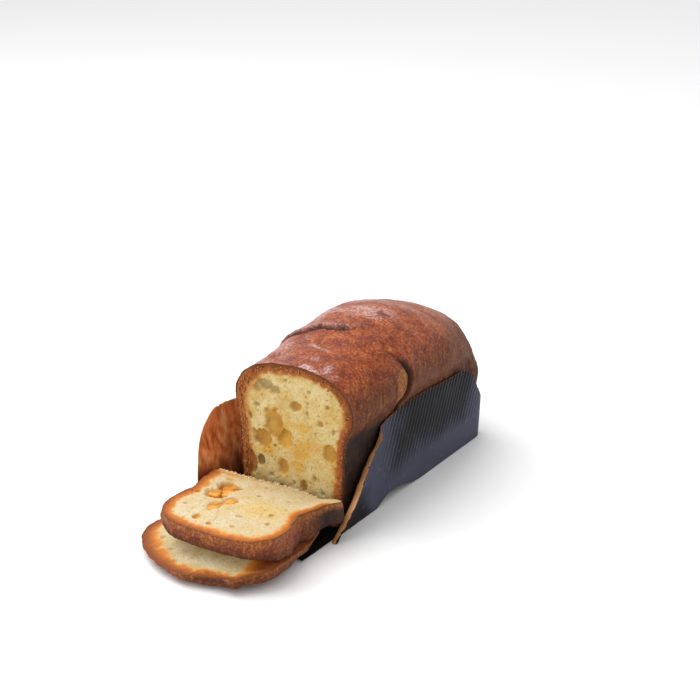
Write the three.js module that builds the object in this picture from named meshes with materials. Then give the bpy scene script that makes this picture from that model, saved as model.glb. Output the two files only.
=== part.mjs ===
// A part-sliced sweet loaf cake in its torn paper baking mould.
//
// Millimetres, +Z up. While it is being built, X = 0 is the middle of the mould and Y = 0 the foot
// of the torn right wall; Y grows towards the rear of the mould. The finished group is moved so that
// the middle of its footprint is at the origin. Five pieces: the loaf, two slices and the mould's
// floor and wall.
import * as THREE from 'three';

// ---- driving dimensions -------------------------------------------------------------------------
const GAP = 0.3; // between pieces that touch

const MOULD_WIDTH = 77;
const MOULD_REAR = 204.5; // outside of the rear wall's foot
const MOULD_FRONT = -28; // torn front edge of the floor
const WALL_HEIGHT = 61;
const PAPER = 1.2; // corrugated wall
const FLOOR_PAPER = 1.0;
const CORNER_RADIUS = 16;
const WALL_LEAN = 3; // how far the rim stands outside the foot
const CORNER_DIP = 31; // the rim is this much lower over a rear corner
const CORNER_DIP_REACH = 19;
const TEAR_FOOT = 3; // height of the right wall at its front tip
const TEAR_LENGTH = 58; // the tear climbs to full height over this length
const TEAR_CURVE = 1.3;
const FLAP_LEAN = 15; // the left wall is opened out by this much
const FLAP_START = 112;
const FLAP_FULL = 38;
const FLAP_SWEEP = 26; // its front edge leans to the rear
const FLAP_FOOT_SHIFT = 8;
const FLAP_CORNER = 22; // rounding of its upper front corner
const FLAP_RISE = 4; // its rim stands a little higher where it is pulled out straight

const CUT_FACE = 14; // Y of the cut face on the middle line
const CUT_SKEW = 0.08; // the knife was not quite square
const CROWN_RISE = 10; // the crown is this much higher halfway along than at the cut face
const CROWN_RISE_AT = 90;
const CROWN_RISE_REACH = 60;
const LOAF_TAPER_START = 118;
const SLICE_THICKNESS = 15;

const SECTION_POINTS = 60;
const SLICE_POINTS = 56;

// ---- geometry helpers ---------------------------------------------------------------------------

// A closed outline through a few points, as evenly spaced 2-D points.
function closedOutline(points, count) {
  const through = points.map(([a, b]) => new THREE.Vector3(a, b, 0));
  const curve = new THREE.CatmullRomCurve3(through, true, 'centripetal');
  return curve.getSpacedPoints(count).slice(0, count).map((p) => new THREE.Vector2(p.x, p.y));
}

// A closed solid from rings of points, each ring the same length, closed at both ends by a fan
// round the ring's middle. Seen along the row of rings, each ring runs anticlockwise.
function ringSolid(rings) {
  const size = rings[0].length;
  const positions = [];
  const triangles = [];
  const middle = (ring) => ring.reduce((sum, p) => sum.add(p), new THREE.Vector3()).divideScalar(size);
  rings.forEach((ring) => ring.forEach((p) => positions.push(p.x, p.y, p.z)));
  for (let i = 0; i + 1 < rings.length; i += 1) {
    for (let j = 0; j < size; j += 1) {
      const a = i * size + j;
      const b = i * size + ((j + 1) % size);
      triangles.push(a, a + size, b + size);
      triangles.push(a, b + size, b);
    }
  }
  const first = rings.length * size;
  const last = first + 1;
  const firstMiddle = middle(rings[0]);
  const lastMiddle = middle(rings[rings.length - 1]);
  positions.push(firstMiddle.x, firstMiddle.y, firstMiddle.z);
  positions.push(lastMiddle.x, lastMiddle.y, lastMiddle.z);
  const lastRing = (rings.length - 1) * size;
  for (let j = 0; j < size; j += 1) {
    const next = (j + 1) % size;
    triangles.push(first, j, next);
    triangles.push(last, lastRing + next, lastRing + j);
  }
  const geometry = new THREE.BufferGeometry();
  geometry.setAttribute('position', new THREE.Float32BufferAttribute(positions, 3));
  geometry.setIndex(triangles);
  geometry.computeVertexNormals();
  return geometry;
}

function piece(name, geometry, color, roughness) {
  const material = new THREE.MeshStandardMaterial({ color, roughness, metalness: 0 });
  const mesh = new THREE.Mesh(geometry, material);
  mesh.name = name;
  return mesh;
}

// ---- the loaf -----------------------------------------------------------------------------------

// Section of the loaf, X and Z: straight sides where the mould held the dough, a waist at the rim
// and a crown that rose over it.
const LOAF_SECTION = [
  [28, GAP + FLOOR_PAPER], [35.5, 5], [36.9, 24], [38, 42], [38.4, 56], [40, 64.5], [44.5, 74],
  [43, 88], [33, 100], [15, 106.5], [-6, 107.5], [-24, 104], [-36, 95], [-40, 83], [-38.6, 70],
  [-37, 60], [-36.6, 45], [-36.6, 24], [-35.5, 5], [-28, GAP + FLOOR_PAPER],
];
const CROWN_BASE = 58; // the crown swells and rounds off above this height

// The crown is highest a little behind the middle of what is left of the loaf.
function crownRise(y, height) {
  const along = Math.exp(-(((y - CROWN_RISE_AT) / CROWN_RISE_REACH) ** 2));
  const up = THREE.MathUtils.smoothstep(height, CROWN_BASE, 100);
  return CROWN_RISE * (along - Math.exp(-(((CUT_FACE - CROWN_RISE_AT) / CROWN_RISE_REACH) ** 2))) * up;
}

function loafGeometry() {
  const section = closedOutline(LOAF_SECTION, SECTION_POINTS);
  const base = GAP + FLOOR_PAPER;
  const cutRings = [0, 10, 24, 42, 60, 78].map((distance) => section.map((p) => {
    const skew = CUT_SKEW * Math.max(0, 1 - distance / 60);
    const y = CUT_FACE + distance + skew * p.x;
    return new THREE.Vector3(p.x, y, Math.max(p.y, base) + crownRise(y, p.y));
  }));
  // Each side of the end rounds off as a superellipse, sharper low down where the mould held it.
  const taper = (v, power) => (1 - v ** power) ** (1 / power);
  const ends = [0, 0.16, 0.31, 0.45, 0.57, 0.68, 0.77, 0.85, 0.91, 0.955, 0.985];
  const endRings = ends.map((v) => section.map((p) => {
    const end = MOULD_REAR - PAPER - GAP + WALL_LEAN * THREE.MathUtils.clamp(p.y / WALL_HEIGHT, 0, 1);
    const y = LOAF_TAPER_START + v * (end - LOAF_TAPER_START);
    const height = Math.max(p.y, base) + crownRise(y, p.y) - CROWN_BASE;
    const z = CROWN_BASE + height * taper(v, height > 0 ? 2.4 : 16);
    const crown = THREE.MathUtils.smoothstep(p.y, CROWN_BASE, 80);
    const x = p.x * THREE.MathUtils.lerp(taper(v, 5), taper(v, 2.6), crown);
    return new THREE.Vector3(x, y, Math.max(z, base));
  }));
  return ringSolid([...cutRings, ...endRings]);
}

// ---- the two slices -----------------------------------------------------------------------------

// Top of the upper slice: its base end is low, it arches over the heel and its crown end droops.
function sliceTop(x, y) {
  const along = (12 - y) / 100;
  return 24.5 + 30 * along - 24 * along ** 2 - 0.06 * x * (1 - along);
}

// Outlines of the slices from above: base end at the rear, waist, then the crown at the front.
const SLICE_OUTLINE = [
  [35.5, 7], [20, 10], [3, 12], [-14, 5], [-32, 1], [-47, -1], [-45, -18], [-40.5, -38],
  [-42.5, -56], [-38, -70], [-26, -76.5], [-6, -78], [16, -77.5], [31, -74], [41, -64],
  [43.5, -51], [39.5, -38], [36, -28], [37, -16], [36, -4],
];
const HEEL_OUTLINE = [
  [34, -6], [8, -5], [-20, -6], [-36, -12], [-43, -24], [-54, -35], [-63, -46], [-63.5, -57],
  [-56, -69], [-42, -80], [-25, -87.5], [-8, -90], [8, -87.5], [22, -78], [31, -65], [38, -50],
  [41, -34], [41, -17],
];

// A slab whose outline is scaled about its middle ring by ring, with a top and an under surface.
function slabGeometry(outline, topRings, underRings, top, under) {
  const middle = outline.reduce((sum, p) => sum.add(p), new THREE.Vector2()).divideScalar(outline.length);
  const ring = (scale, height) => outline.map((p) => {
    const x = middle.x + scale * (p.x - middle.x);
    const y = middle.y + scale * (p.y - middle.y);
    return new THREE.Vector3(x, y, height(x, y));
  });
  const topLoops = topRings.map((scale) => ring(scale, top));
  const underLoops = underRings.map(([scale, share]) => ring(
    scale,
    (x, y) => THREE.MathUtils.lerp(top(x, y), under(x, y), share),
  ));
  return ringSolid([...topLoops, ...underLoops]);
}

function sliceGeometry() {
  const under = (x, y) => sliceTop(x, y) - SLICE_THICKNESS;
  const sides = [[1.006, 0.2], [1.006, 0.8], [0.985, 1], [0.8, 1], [0.55, 1], [0.25, 1]];
  return slabGeometry(
    closedOutline(SLICE_OUTLINE, SLICE_POINTS),
    [0.25, 0.55, 0.8, 0.985],
    sides,
    sliceTop,
    under,
  );
}

// The heel lies on its rounded crust. Its cut face slopes down to the front left, is a little
// crowned, and stays under the slice that lies on it.
function heelTop(x, y) {
  const slope = 19 + 0.076 * x + 0.124 * y;
  const crown = 4 * Math.max(0, 1 - Math.hypot((x + 12) / 50, (y + 46) / 44) ** 2);
  return Math.min(slope + crown, sliceTop(x, y) - SLICE_THICKNESS - GAP);
}

function heelUnder(x, y) {
  return 0.0016 * ((x + 8) ** 2 + (y + 60) ** 2) + GAP;
}

function heelGeometry() {
  const sides = [[1, 0.25], [0.985, 0.55], [0.95, 0.82], [0.88, 1], [0.65, 1], [0.35, 1], [0.12, 1]];
  return slabGeometry(
    closedOutline(HEEL_OUTLINE, SLICE_POINTS),
    [0.15, 0.4, 0.65, 0.85, 0.985],
    sides,
    heelTop,
    heelUnder,
  );
}

// ---- the paper mould ----------------------------------------------------------------------------

// Feet of the wall from the torn right front, round the rear and forward along the left side.
// Each has its place, its outward direction and its distance along the wall.
function wallStations() {
  const half = MOULD_WIDTH / 2;
  const cornerX = half - CORNER_RADIUS;
  const cornerY = MOULD_REAR - CORNER_RADIUS;
  const stations = [];
  const add = (x, y, nx, ny) => stations.push({ foot: new THREE.Vector2(x, y), out: new THREE.Vector2(nx, ny) });
  const rightSteps = [0, 4, 12, 22, 33, 43, 51, 58, 80, 110, 140, 160, 174, 184];
  rightSteps.forEach((y) => add(half, y, 1, 0));
  for (let i = 0; i <= 6; i += 1) {
    const angle = (i / 6) * (Math.PI / 2);
    add(cornerX + CORNER_RADIUS * Math.cos(angle), cornerY + CORNER_RADIUS * Math.sin(angle),
      Math.cos(angle), Math.sin(angle));
  }
  [14, 6, -6, -14].forEach((x) => add(x, MOULD_REAR, 0, 1));
  for (let i = 0; i <= 6; i += 1) {
    const angle = (Math.PI / 2) * (1 + i / 6);
    add(-cornerX + CORNER_RADIUS * Math.cos(angle), cornerY + CORNER_RADIUS * Math.sin(angle),
      Math.cos(angle), Math.sin(angle));
  }
  const leftSteps = [184, 174, 160, 140, FLAP_START, 98, 84, 70, 56, FLAP_FULL, 24, 10, -4, -15, -23, MOULD_FRONT];
  leftSteps.forEach((y) => {
    const opened = THREE.MathUtils.smoothstep(-y, -FLAP_START, -MOULD_FRONT);
    add(-half - FLAP_FOOT_SHIFT * opened, y, -1, 0);
  });
  return stations;
}

// Height of the paper's edge over one foot: full height, less the dips over the two rear corners,
// the tear at the right front and the rounded corner of the left flap.
function edgeHeight({ foot }) {
  const cornerMiddle = new THREE.Vector2(
    MOULD_WIDTH / 2 - CORNER_RADIUS * (1 - Math.SQRT1_2),
    MOULD_REAR - CORNER_RADIUS * (1 - Math.SQRT1_2),
  );
  const nearest = Math.hypot(Math.abs(foot.x) - cornerMiddle.x, foot.y - cornerMiddle.y);
  const dip = CORNER_DIP * Math.exp(-((nearest / CORNER_DIP_REACH) ** 2));
  const opened = foot.x < 0 ? THREE.MathUtils.smoothstep(-foot.y, -FLAP_START, -FLAP_FULL) : 0;
  const full = WALL_HEIGHT - dip + FLAP_RISE * opened;
  if (foot.x > 0 && foot.y < TEAR_LENGTH) {
    return TEAR_FOOT + (full - TEAR_FOOT) * (foot.y / TEAR_LENGTH) ** TEAR_CURVE;
  }
  const fromTip = foot.y - MOULD_FRONT;
  if (foot.x < 0 && fromTip < FLAP_CORNER) {
    const across = 1 - fromTip / FLAP_CORNER;
    return full - FLAP_CORNER * (1 - Math.sqrt(1 - across ** 2));
  }
  return full;
}

function wallGeometry() {
  const levels = [0, 0.34, 0.67, 1];
  const rings = wallStations().map((station) => {
    const { foot, out } = station;
    const edge = edgeHeight(station);
    const opened = foot.x < 0 ? THREE.MathUtils.smoothstep(-foot.y, -FLAP_START, -FLAP_FULL) : 0;
    const swept = foot.x < 0 ? THREE.MathUtils.smoothstep(-foot.y, -60, -MOULD_FRONT) : 0;
    const lean = THREE.MathUtils.lerp(WALL_LEAN, FLAP_LEAN, opened);
    const at = (share, depth) => {
      const z = share * edge;
      const outward = lean * (z / WALL_HEIGHT) - depth;
      const y = foot.y + out.y * outward + FLAP_SWEEP * swept * (z / WALL_HEIGHT);
      return new THREE.Vector3(foot.x + out.x * outward, y, z);
    };
    const outer = levels.map((share) => at(share, 0));
    const inner = levels.map((share) => at(share, PAPER)).reverse();
    return [...outer, ...inner];
  });
  return ringSolid(rings);
}

// The mould's paper floor lies inside the wall's foot and ends in the torn front edge.
function floorGeometry() {
  const inset = PAPER + GAP;
  const half = MOULD_WIDTH / 2 - inset;
  const radius = CORNER_RADIUS - inset;
  const rear = MOULD_REAR - inset;
  const shape = new THREE.Shape();
  shape.moveTo(half, MOULD_FRONT + 2);
  shape.lineTo(half, rear - radius);
  shape.absarc(half - radius, rear - radius, radius, 0, Math.PI / 2, false);
  shape.lineTo(-half + radius, rear);
  shape.absarc(-half + radius, rear - radius, radius, Math.PI / 2, Math.PI, false);
  shape.lineTo(-half, MOULD_FRONT);
  shape.lineTo(-20, MOULD_FRONT - 2);
  shape.lineTo(6, MOULD_FRONT + 1);
  shape.closePath();
  return new THREE.ExtrudeGeometry(shape, { depth: FLOOR_PAPER, bevelEnabled: false, curveSegments: 8 });
}

// ---- the assembly -------------------------------------------------------------------------------

const mould = new THREE.Group();
mould.add(piece('mould_floor', floorGeometry(), 0x2c2a30, 0.85));
mould.add(piece('mould_wall', wallGeometry(), 0x45464f, 0.6));

const slices = new THREE.Group();
slices.add(piece('slice_upper', sliceGeometry(), 0xe9d9ae, 0.85));
slices.add(piece('slice_heel', heelGeometry(), 0xb87a41, 0.85));

const cake = new THREE.Group();
cake.add(mould);
cake.add(slices);
cake.add(piece('cake_loaf', loafGeometry(), 0x8f5630, 0.55));

const extent = new THREE.Box3().setFromObject(cake);
const footprint = extent.getCenter(new THREE.Vector3());
cake.position.set(-footprint.x, -footprint.y, -extent.min.z);

export default cake;
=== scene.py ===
# %% [markdown]
# # A part-sliced loaf cake in its paper mould
# This lesson finishes a sweet loaf cake: the loaf with its cut face, two slices that lie in front of
# it, and the torn, pleated paper mould that it was baked in. The sizes and places come from a fixed
# frame, a plain solid model of the same five pieces. Here each of them gets its real surface.

import bpy
import numpy as np
from mathutils import Matrix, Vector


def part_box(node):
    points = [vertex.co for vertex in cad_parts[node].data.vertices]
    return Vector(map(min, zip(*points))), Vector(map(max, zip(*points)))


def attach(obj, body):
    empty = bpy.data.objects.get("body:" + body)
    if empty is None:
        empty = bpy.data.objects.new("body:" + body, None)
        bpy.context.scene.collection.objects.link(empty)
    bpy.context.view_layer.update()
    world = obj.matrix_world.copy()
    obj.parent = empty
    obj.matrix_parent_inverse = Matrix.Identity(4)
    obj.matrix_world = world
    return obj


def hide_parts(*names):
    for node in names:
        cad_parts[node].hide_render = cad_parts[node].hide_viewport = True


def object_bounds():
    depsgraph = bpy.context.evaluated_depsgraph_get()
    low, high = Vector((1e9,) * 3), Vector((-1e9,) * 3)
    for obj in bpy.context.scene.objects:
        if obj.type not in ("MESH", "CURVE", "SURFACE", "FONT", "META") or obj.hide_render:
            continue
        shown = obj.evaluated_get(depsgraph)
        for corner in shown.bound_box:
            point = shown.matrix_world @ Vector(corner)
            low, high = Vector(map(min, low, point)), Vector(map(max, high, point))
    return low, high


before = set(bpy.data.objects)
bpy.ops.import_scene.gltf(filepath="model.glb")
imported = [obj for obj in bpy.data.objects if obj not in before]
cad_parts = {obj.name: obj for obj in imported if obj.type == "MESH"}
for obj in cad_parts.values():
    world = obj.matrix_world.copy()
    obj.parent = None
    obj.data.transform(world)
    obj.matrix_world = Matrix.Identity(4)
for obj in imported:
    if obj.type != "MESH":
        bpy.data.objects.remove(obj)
cad_low, cad_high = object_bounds()
print("frame nodes:", sorted(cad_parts))

# %% [markdown]
# ## Millimetres, measured in the mould
# A baker measures a loaf in millimetres, from the mould. So every surface below is worked out in
# millimetres: X is 0 on the mould's middle line, Y is 0 where the torn right wall starts and grows
# towards the rear, and Z is 0 on the table. The floor paper of the frame tells where that is.

# %% Units and the mould's origin
MM = 0.001
FLOOR_REAR = 203.0
floor_low, floor_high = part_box("mould_floor")
ORIGIN = np.array([(floor_low.x + floor_high.x) / 2, floor_high.y - FLOOR_REAR * MM, floor_low.z])


def metres(points):
    """Millimetres in the mould to metres in the frame: scaled, then moved to the mould's origin."""
    return points * MM + ORIGIN


print("mould origin in the frame, metres:", ORIGIN.round(5))

# %% [markdown]
# ## Camera, floor and light
# The camera looks down a little on the front right corner. Food is lit by one broad soft light from
# above and behind the camera's left shoulder, with a pale surround that fills the shadows, so the
# glaze shows a soft sheen and nothing is hard-edged. A second, weaker one lifts the cut faces.

# %% Camera
CAMERA_PLACE = (0.53905, -0.7766, 0.4712)
CAMERA_AZIMUTH = np.radians(33.46)
CAMERA_PITCH = np.radians(21.4)
CAMERA_ROLL = np.radians(-0.56)
CAMERA_LENS = 80.49


def camera_axes(azimuth, pitch, roll):
    """Right, up and backward directions of a camera turned by azimuth, tilted down and rolled."""
    level = np.array([np.cos(azimuth), np.sin(azimuth), 0])
    forward = np.array([-np.sin(azimuth) * np.cos(pitch), np.cos(azimuth) * np.cos(pitch), -np.sin(pitch)])
    above = np.cross(level, forward)
    right = np.cos(roll) * level + np.sin(roll) * above
    up = np.cos(roll) * above - np.sin(roll) * level
    return right, up, -forward


camera = bpy.data.objects.new("camera", bpy.data.cameras.new("camera"))
bpy.context.scene.collection.objects.link(camera)
camera.data.lens = CAMERA_LENS
turn = np.eye(4)
turn[:3, :3] = np.column_stack(camera_axes(CAMERA_AZIMUTH, CAMERA_PITCH, CAMERA_ROLL))
turn[:3, 3] = CAMERA_PLACE
camera.matrix_world = Matrix(turn.tolist())
bpy.context.scene.camera = camera
bpy.context.scene.view_settings.view_transform = "Standard"
print("camera at", CAMERA_PLACE, "with a", CAMERA_LENS, "mm lens")

# %% [markdown]
# ## Small helpers for finishes
# Colours are written as the hex values that a colour chart gives, and one function makes them linear
# for the shader. One more function adds any node with its settings and links.

# %% Colour and node helpers


def linear(hex_colour):
    """sRGB hex to linear light: each channel over 12.92 when dark, else a power of 2.4."""
    channels = np.array([int(hex_colour[i:i + 2], 16) for i in (1, 3, 5)]) / 255
    bright = ((channels + 0.055) / 1.055) ** 2.4
    return (*np.where(channels <= 0.04045, channels / 12.92, bright), 1.0)


def add(tree, kind, settings=None, inputs=None, stops=None):
    """Adds a node, sets its properties, and gives each input a value or links it to an output."""
    made = tree.nodes.new("ShaderNode" + kind)
    for name, value in (settings or {}).items():
        setattr(made, name, value)
    for key, value in (inputs or {}).items():
        if isinstance(value, bpy.types.NodeSocket):
            tree.links.new(value, made.inputs[key])
        else:
            made.inputs[key].default_value = value
    if stops:
        elements = made.color_ramp.elements
        while len(elements) < len(stops):
            elements.new(0.5)
        for element, (place, hex_colour) in zip(elements, stops):
            element.position = place
            element.color = linear(hex_colour)
    return made


def new_material(name):
    """An empty node material, its tree and the object coordinates that its patterns read."""
    material = bpy.data.materials.new(name)
    material.use_nodes = True
    tree = material.node_tree
    tree.nodes.clear()
    return material, tree, add(tree, "TexCoord").outputs["Object"]


def finish_material(tree, **inputs):
    """Adds the Principled shader with these inputs (underscores stand for spaces) and the output."""
    named = {name.replace("_", " "): value for name, value in inputs.items()}
    shader = add(tree, "BsdfPrincipled", None, named)
    add(tree, "OutputMaterial", None, {"Surface": shader.outputs[0]})


print("pure white in linear light:", linear("#ffffff"))
COLOUR_MIX = {"data_type": "RGBA"}  # sockets: 0 factor, 6 and 7 colours, output 2
COLOUR_MULTIPLY = {**COLOUR_MIX, "blend_type": "MULTIPLY"}

# %% Floor, surround and lamps
FLOOR_HALF = 4.0
FLOOR_DROP = 0.0004


def plain_floor():
    """A pale matte floor just below the object."""
    mesh = bpy.data.meshes.new("floor")
    half = FLOOR_HALF
    corners = [(-half, -half), (half, -half), (half, half), (-half, half)]
    mesh.from_pydata([(x, y, cad_low.z - FLOOR_DROP) for x, y in corners], [], [(0, 1, 2, 3)])
    material, tree, _ = new_material("white table board")
    finish_material(tree, Base_Color=linear("#f6f6f6"), Roughness=0.95, Specular_IOR_Level=0.1)
    mesh.materials.append(material)
    floor = bpy.data.objects.new("floor", mesh)
    bpy.context.scene.collection.objects.link(floor)


def soft_lamp(name, place, target, size, watts):
    """A square soft box at place that shines towards target."""
    lamp = bpy.data.lights.new(name, "AREA")
    lamp.size = size
    lamp.energy = watts
    backward = np.array(place, float) - np.array(target, float)
    backward /= np.linalg.norm(backward)
    right = np.cross([0.0, 0.0, 1.0], backward)
    right /= np.linalg.norm(right)
    pose = np.eye(4)
    pose[:3, :3] = np.column_stack([right, np.cross(backward, right), backward])
    pose[:3, 3] = place
    holder = bpy.data.objects.new(name, lamp)
    holder.matrix_world = Matrix(pose.tolist())
    bpy.context.scene.collection.objects.link(holder)


SURROUND = 0.84
world = bpy.data.worlds.new("pale surround")
world.use_nodes = True
background = world.node_tree.nodes["Background"]
background.inputs["Color"].default_value = (1, 1, 1, 1)
background.inputs["Strength"].default_value = SURROUND
bpy.context.scene.world = world
plain_floor()
LOAF_MIDDLE = (0.0, 0.02, 0.06)
soft_lamp("key light", (-0.6, -0.1, 1.25), LOAF_MIDDLE, 1.4, 16.5)
soft_lamp("front light", (-0.5, -1.2, 0.5), LOAF_MIDDLE, 0.9, 2.5)
print("stage ready")

# %% [markdown]
# ## Noise
# Crumb, crust and torn paper are irregular at every size. A lattice noise gives each knot of a cubic
# lattice a random value and blends between knots. Sums of it at halving sizes look like baked dough.
# A cell noise gives the distance to the nearest of many scattered points, which is what bubbles need.

# %% Noise helpers
SCRAMBLERS = np.array([374761393, 668265263, 1103515245])  # large odd numbers, one for each axis
SEED_SCRAMBLER, LAST_SCRAMBLER = 974634777, 1274126177
LOW_32_BITS, LOW_16_BITS = 0xFFFFFFFF, 0xFFFF


def points_at(x, y=0, z=0):
    """Points from their coordinates; a single number is the same coordinate for all of them."""
    return np.stack(np.broadcast_arrays(x, y, z), -1)


def knot_values(cell, seed):
    """A random number from 0 to 1 for each whole-number knot, by mixing the bits of its indices."""
    mixed = (cell * SCRAMBLERS).sum(-1) + seed * SEED_SCRAMBLER
    mixed = (mixed ^ (mixed >> 13)) & LOW_32_BITS
    mixed = (mixed * LAST_SCRAMBLER) & LOW_32_BITS
    mixed = mixed ^ (mixed >> 16)
    return (mixed & LOW_16_BITS) / LOW_16_BITS


def noise(points, size, seed, octaves=1):
    """Lattice noise from about -1 to 1: the eight knots round a point, blended by smoothed shares,
    with octaves of half the size and half the strength added."""
    total = np.zeros(points.shape[:-1])
    strength = 1.0
    for octave in range(octaves):
        place = points * (2 ** octave / size) + 31.7 * (octave + 1)
        cell = np.floor(place).astype(np.int64)
        share = place - cell
        share = share * share * (3 - 2 * share)
        for corner in np.ndindex(2, 2, 2):
            weight = np.prod(np.where(corner, share, 1 - share), axis=-1)
            total += strength * weight * (2 * knot_values(cell + corner, seed + octave) - 1)
        strength *= 0.5
    return total


def bubbles(points, size, seed):
    """With one scattered point in each cube of that size: the distance to the nearest one, as a share
    of the size, and that point's own random number."""
    place = points / size
    cell = np.floor(place).astype(np.int64)
    nearest = np.full(points.shape[:-1], 9.0)
    number = np.zeros(points.shape[:-1])
    for step in np.ndindex(3, 3, 3):
        knot = cell + np.array(step) - 1
        middle = knot + points_at(*(knot_values(knot, seed + k) for k in range(3)))
        away = np.linalg.norm(place - middle, axis=-1)
        closer = away < nearest
        nearest = np.where(closer, away, nearest)
        number = np.where(closer, knot_values(knot, seed + 7), number)
    return nearest, number


def smooth(value, low, high):
    """0 below low, 1 above high, and an S-shaped step between; low may be above high."""
    t = np.clip((value - low) / (high - low), 0, 1)
    return t * t * (3 - 2 * t)


def bell(distance, width):
    """A bell curve: 1 at no distance, then e to the power of minus the square of distance / width."""
    return np.exp(-(distance / width) ** 2)


def most(*values):
    """The largest of several values at each point."""
    return np.maximum.reduce(np.broadcast_arrays(*values))


def path_distance(a, b, path):
    """Distance in the plane from each point (a, b) to a polyline: the least over its stretches."""
    nearest = np.full(np.shape(a), np.inf)
    for (a0, b0), (a1, b1) in zip(path[:-1], path[1:]):
        da, db = a1 - a0, b1 - b0
        t = np.clip(((a - a0) * da + (b - b0) * db) / (da * da + db * db), 0, 1)
        nearest = np.minimum(nearest, np.hypot(a - a0 - t * da, b - b0 - t * db))
    return nearest


print("noise ready")

# %% [markdown]
# ## One closed body for anything that was cut
# A loaf and a slice are both a flat cut face with a crust that goes round it. One grid can't have
# both even crumb and a closed edge, so the cut face is a square grid pressed onto a disc, the crust
# is a row of rings that starts at the disc's edge, and a pole or a second disc closes the far end.

# %% Topology of the closed body


def disc_grid(n):
    """A square of n by n cells laid on the unit disc: u = a root(1 - b²/2), v = b root(1 - a²/2).
    Also the numbers of its edge points, anticlockwise."""
    a, b = np.meshgrid(np.linspace(-1, 1, n + 1), np.linspace(-1, 1, n + 1), indexing="ij")
    index = np.arange((n + 1) ** 2).reshape(n + 1, n + 1)
    edge = np.concatenate([index[:-1, 0], index[-1, :-1], index[:0:-1, -1], index[0, :0:-1]])
    return (a * np.sqrt(1 - b * b / 2)).ravel(), (b * np.sqrt(1 - a * a / 2)).ravel(), edge


def grid_faces(index):
    """Quads of a grid of point numbers, anticlockwise for a first axis to the right and a second up."""
    return np.stack([index[:-1, :-1], index[1:, :-1], index[1:, 1:], index[:-1, 1:]], -1).reshape(-1, 4)


def body_faces(n, rings, second_disc):
    """Faces of a disc (0), of the rings round it (1) and of the far end (2), and that number for each."""
    _, _, edge = disc_grid(n)
    first = (n + 1) ** 2
    numbers = np.vstack([edge, first + np.arange(rings * 4 * n).reshape(rings, 4 * n)])
    after = np.roll(numbers, -1, axis=1)
    sides = np.stack([numbers[:-1], numbers[1:], after[1:], after[:-1]], -1).reshape(-1, 4)
    disc = grid_faces(np.arange(first).reshape(n + 1, n + 1))
    end = first + rings * 4 * n
    if second_disc:
        under = np.empty(first, int)
        inner = np.ones(first, bool)
        inner[edge] = False
        under[edge] = numbers[-1]
        under[inner] = end + np.arange(inner.sum())
        far = grid_faces(under.reshape(n + 1, n + 1))[:, ::-1]
    else:
        far = np.stack([numbers[-1], np.full(4 * n, end), after[-1]], -1)
    part = np.repeat([0, 1, 2], [len(disc), len(sides), len(far)])
    return [*disc.tolist(), *sides.tolist(), *far.tolist()], part


def make_piece(name, points, faces, materials, material_of_face):
    """A smooth-shaded mesh object in the frame, from millimetres in the mould."""
    mesh = bpy.data.meshes.new(name)
    mesh.from_pydata(metres(points).tolist(), [], faces)
    for material in materials:
        mesh.materials.append(material)
    mesh.polygons.foreach_set("material_index", np.asarray(material_of_face, np.int32))
    mesh.polygons.foreach_set("use_smooth", np.ones(len(faces), bool))
    made = bpy.data.objects.new(name, mesh)
    bpy.context.scene.collection.objects.link(made)
    mesh.update()
    return made


def normals_of(points, faces):
    """Outward normal at each point, from a mesh of the smooth shape."""
    mesh = bpy.data.meshes.new("smooth shape")
    mesh.from_pydata(points.tolist(), [], faces)
    found = np.empty(len(points) * 3)
    mesh.vertex_normals.foreach_get("vector", found)
    bpy.data.meshes.remove(mesh)
    return found.reshape(-1, 3)


def mask(piece, name, values):
    """Stores one number per point, which a material reads with an Attribute node."""
    layer = piece.data.attributes.new(name, "FLOAT", "POINT")
    layer.data.foreach_set("value", np.ascontiguousarray(np.clip(values, 0, 1), dtype=np.float32))


def settle(piece, node):
    """The piece rides on the cake and stands for a frame node, which it hides."""
    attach(piece, "root")
    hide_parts(node)
    triangles = sum(len(face.vertices) - 2 for face in piece.data.polygons)
    print(piece.name, "stands for", node, "with", triangles, "triangles")


print("a disc of 4 by 4 cells has", len(disc_grid(4)[2]), "edge points")

# %% Outlines


def closed_outline(corners, count=720):
    """A centripetal Catmull-Rom curve through the corners: between two of them a cubic whose end
    slopes come from the neighbours, weighted by the roots of the distances."""
    p1 = np.array(corners, float)
    p0, p2, p3 = np.roll(p1, 1, 0), np.roll(p1, -1, 0), np.roll(p1, -2, 0)
    d0, d1, d2 = (np.sqrt(np.linalg.norm(b - a, axis=1))[:, None] for a, b in ((p0, p1), (p1, p2), (p2, p3)))
    slope1 = ((p1 - p0) / d0 - (p2 - p0) / (d0 + d1) + (p2 - p1) / d1) * d1
    slope2 = ((p2 - p1) / d1 - (p3 - p1) / (d1 + d2) + (p3 - p2) / d2) * d1
    t = np.linspace(0, 1, count // len(corners), endpoint=False)[None, :, None]
    p1, p2, slope1, slope2 = (k[:, None, :] for k in (p1, p2, slope1, slope2))
    curve = (p1 * (2 * t ** 3 - 3 * t ** 2 + 1) + slope1 * (t ** 3 - 2 * t ** 2 + t)
             + p2 * (3 * t ** 2 - 2 * t ** 3) + slope2 * (t ** 3 - t ** 2))
    return curve.reshape(-1, 2)


def polar_radius(outline, middle):
    """A function of the angle: the distance from the middle to the outline in that direction."""
    away = outline - middle
    angle = np.arctan2(away[:, 1], away[:, 0])
    order = np.argsort(angle)
    radius = np.hypot(away[:, 0], away[:, 1])[order]
    return lambda theta: np.interp(theta, angle[order], radius, period=2 * np.pi)


print("body and outline helpers ready")

# %% [markdown]
# ## Crumb
# The inside of a sweet loaf is a yellow foam: thousands of small bubbles, a few large ones, and
# hollows where soft candied apple sat. A bump map alone would look like sponge print, so hollows and
# pores are pressed into the mesh, each to its own depth, and the shader adds the finest grain and
# painted shade that darkens the pores.

# %% Crumb helpers


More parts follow.
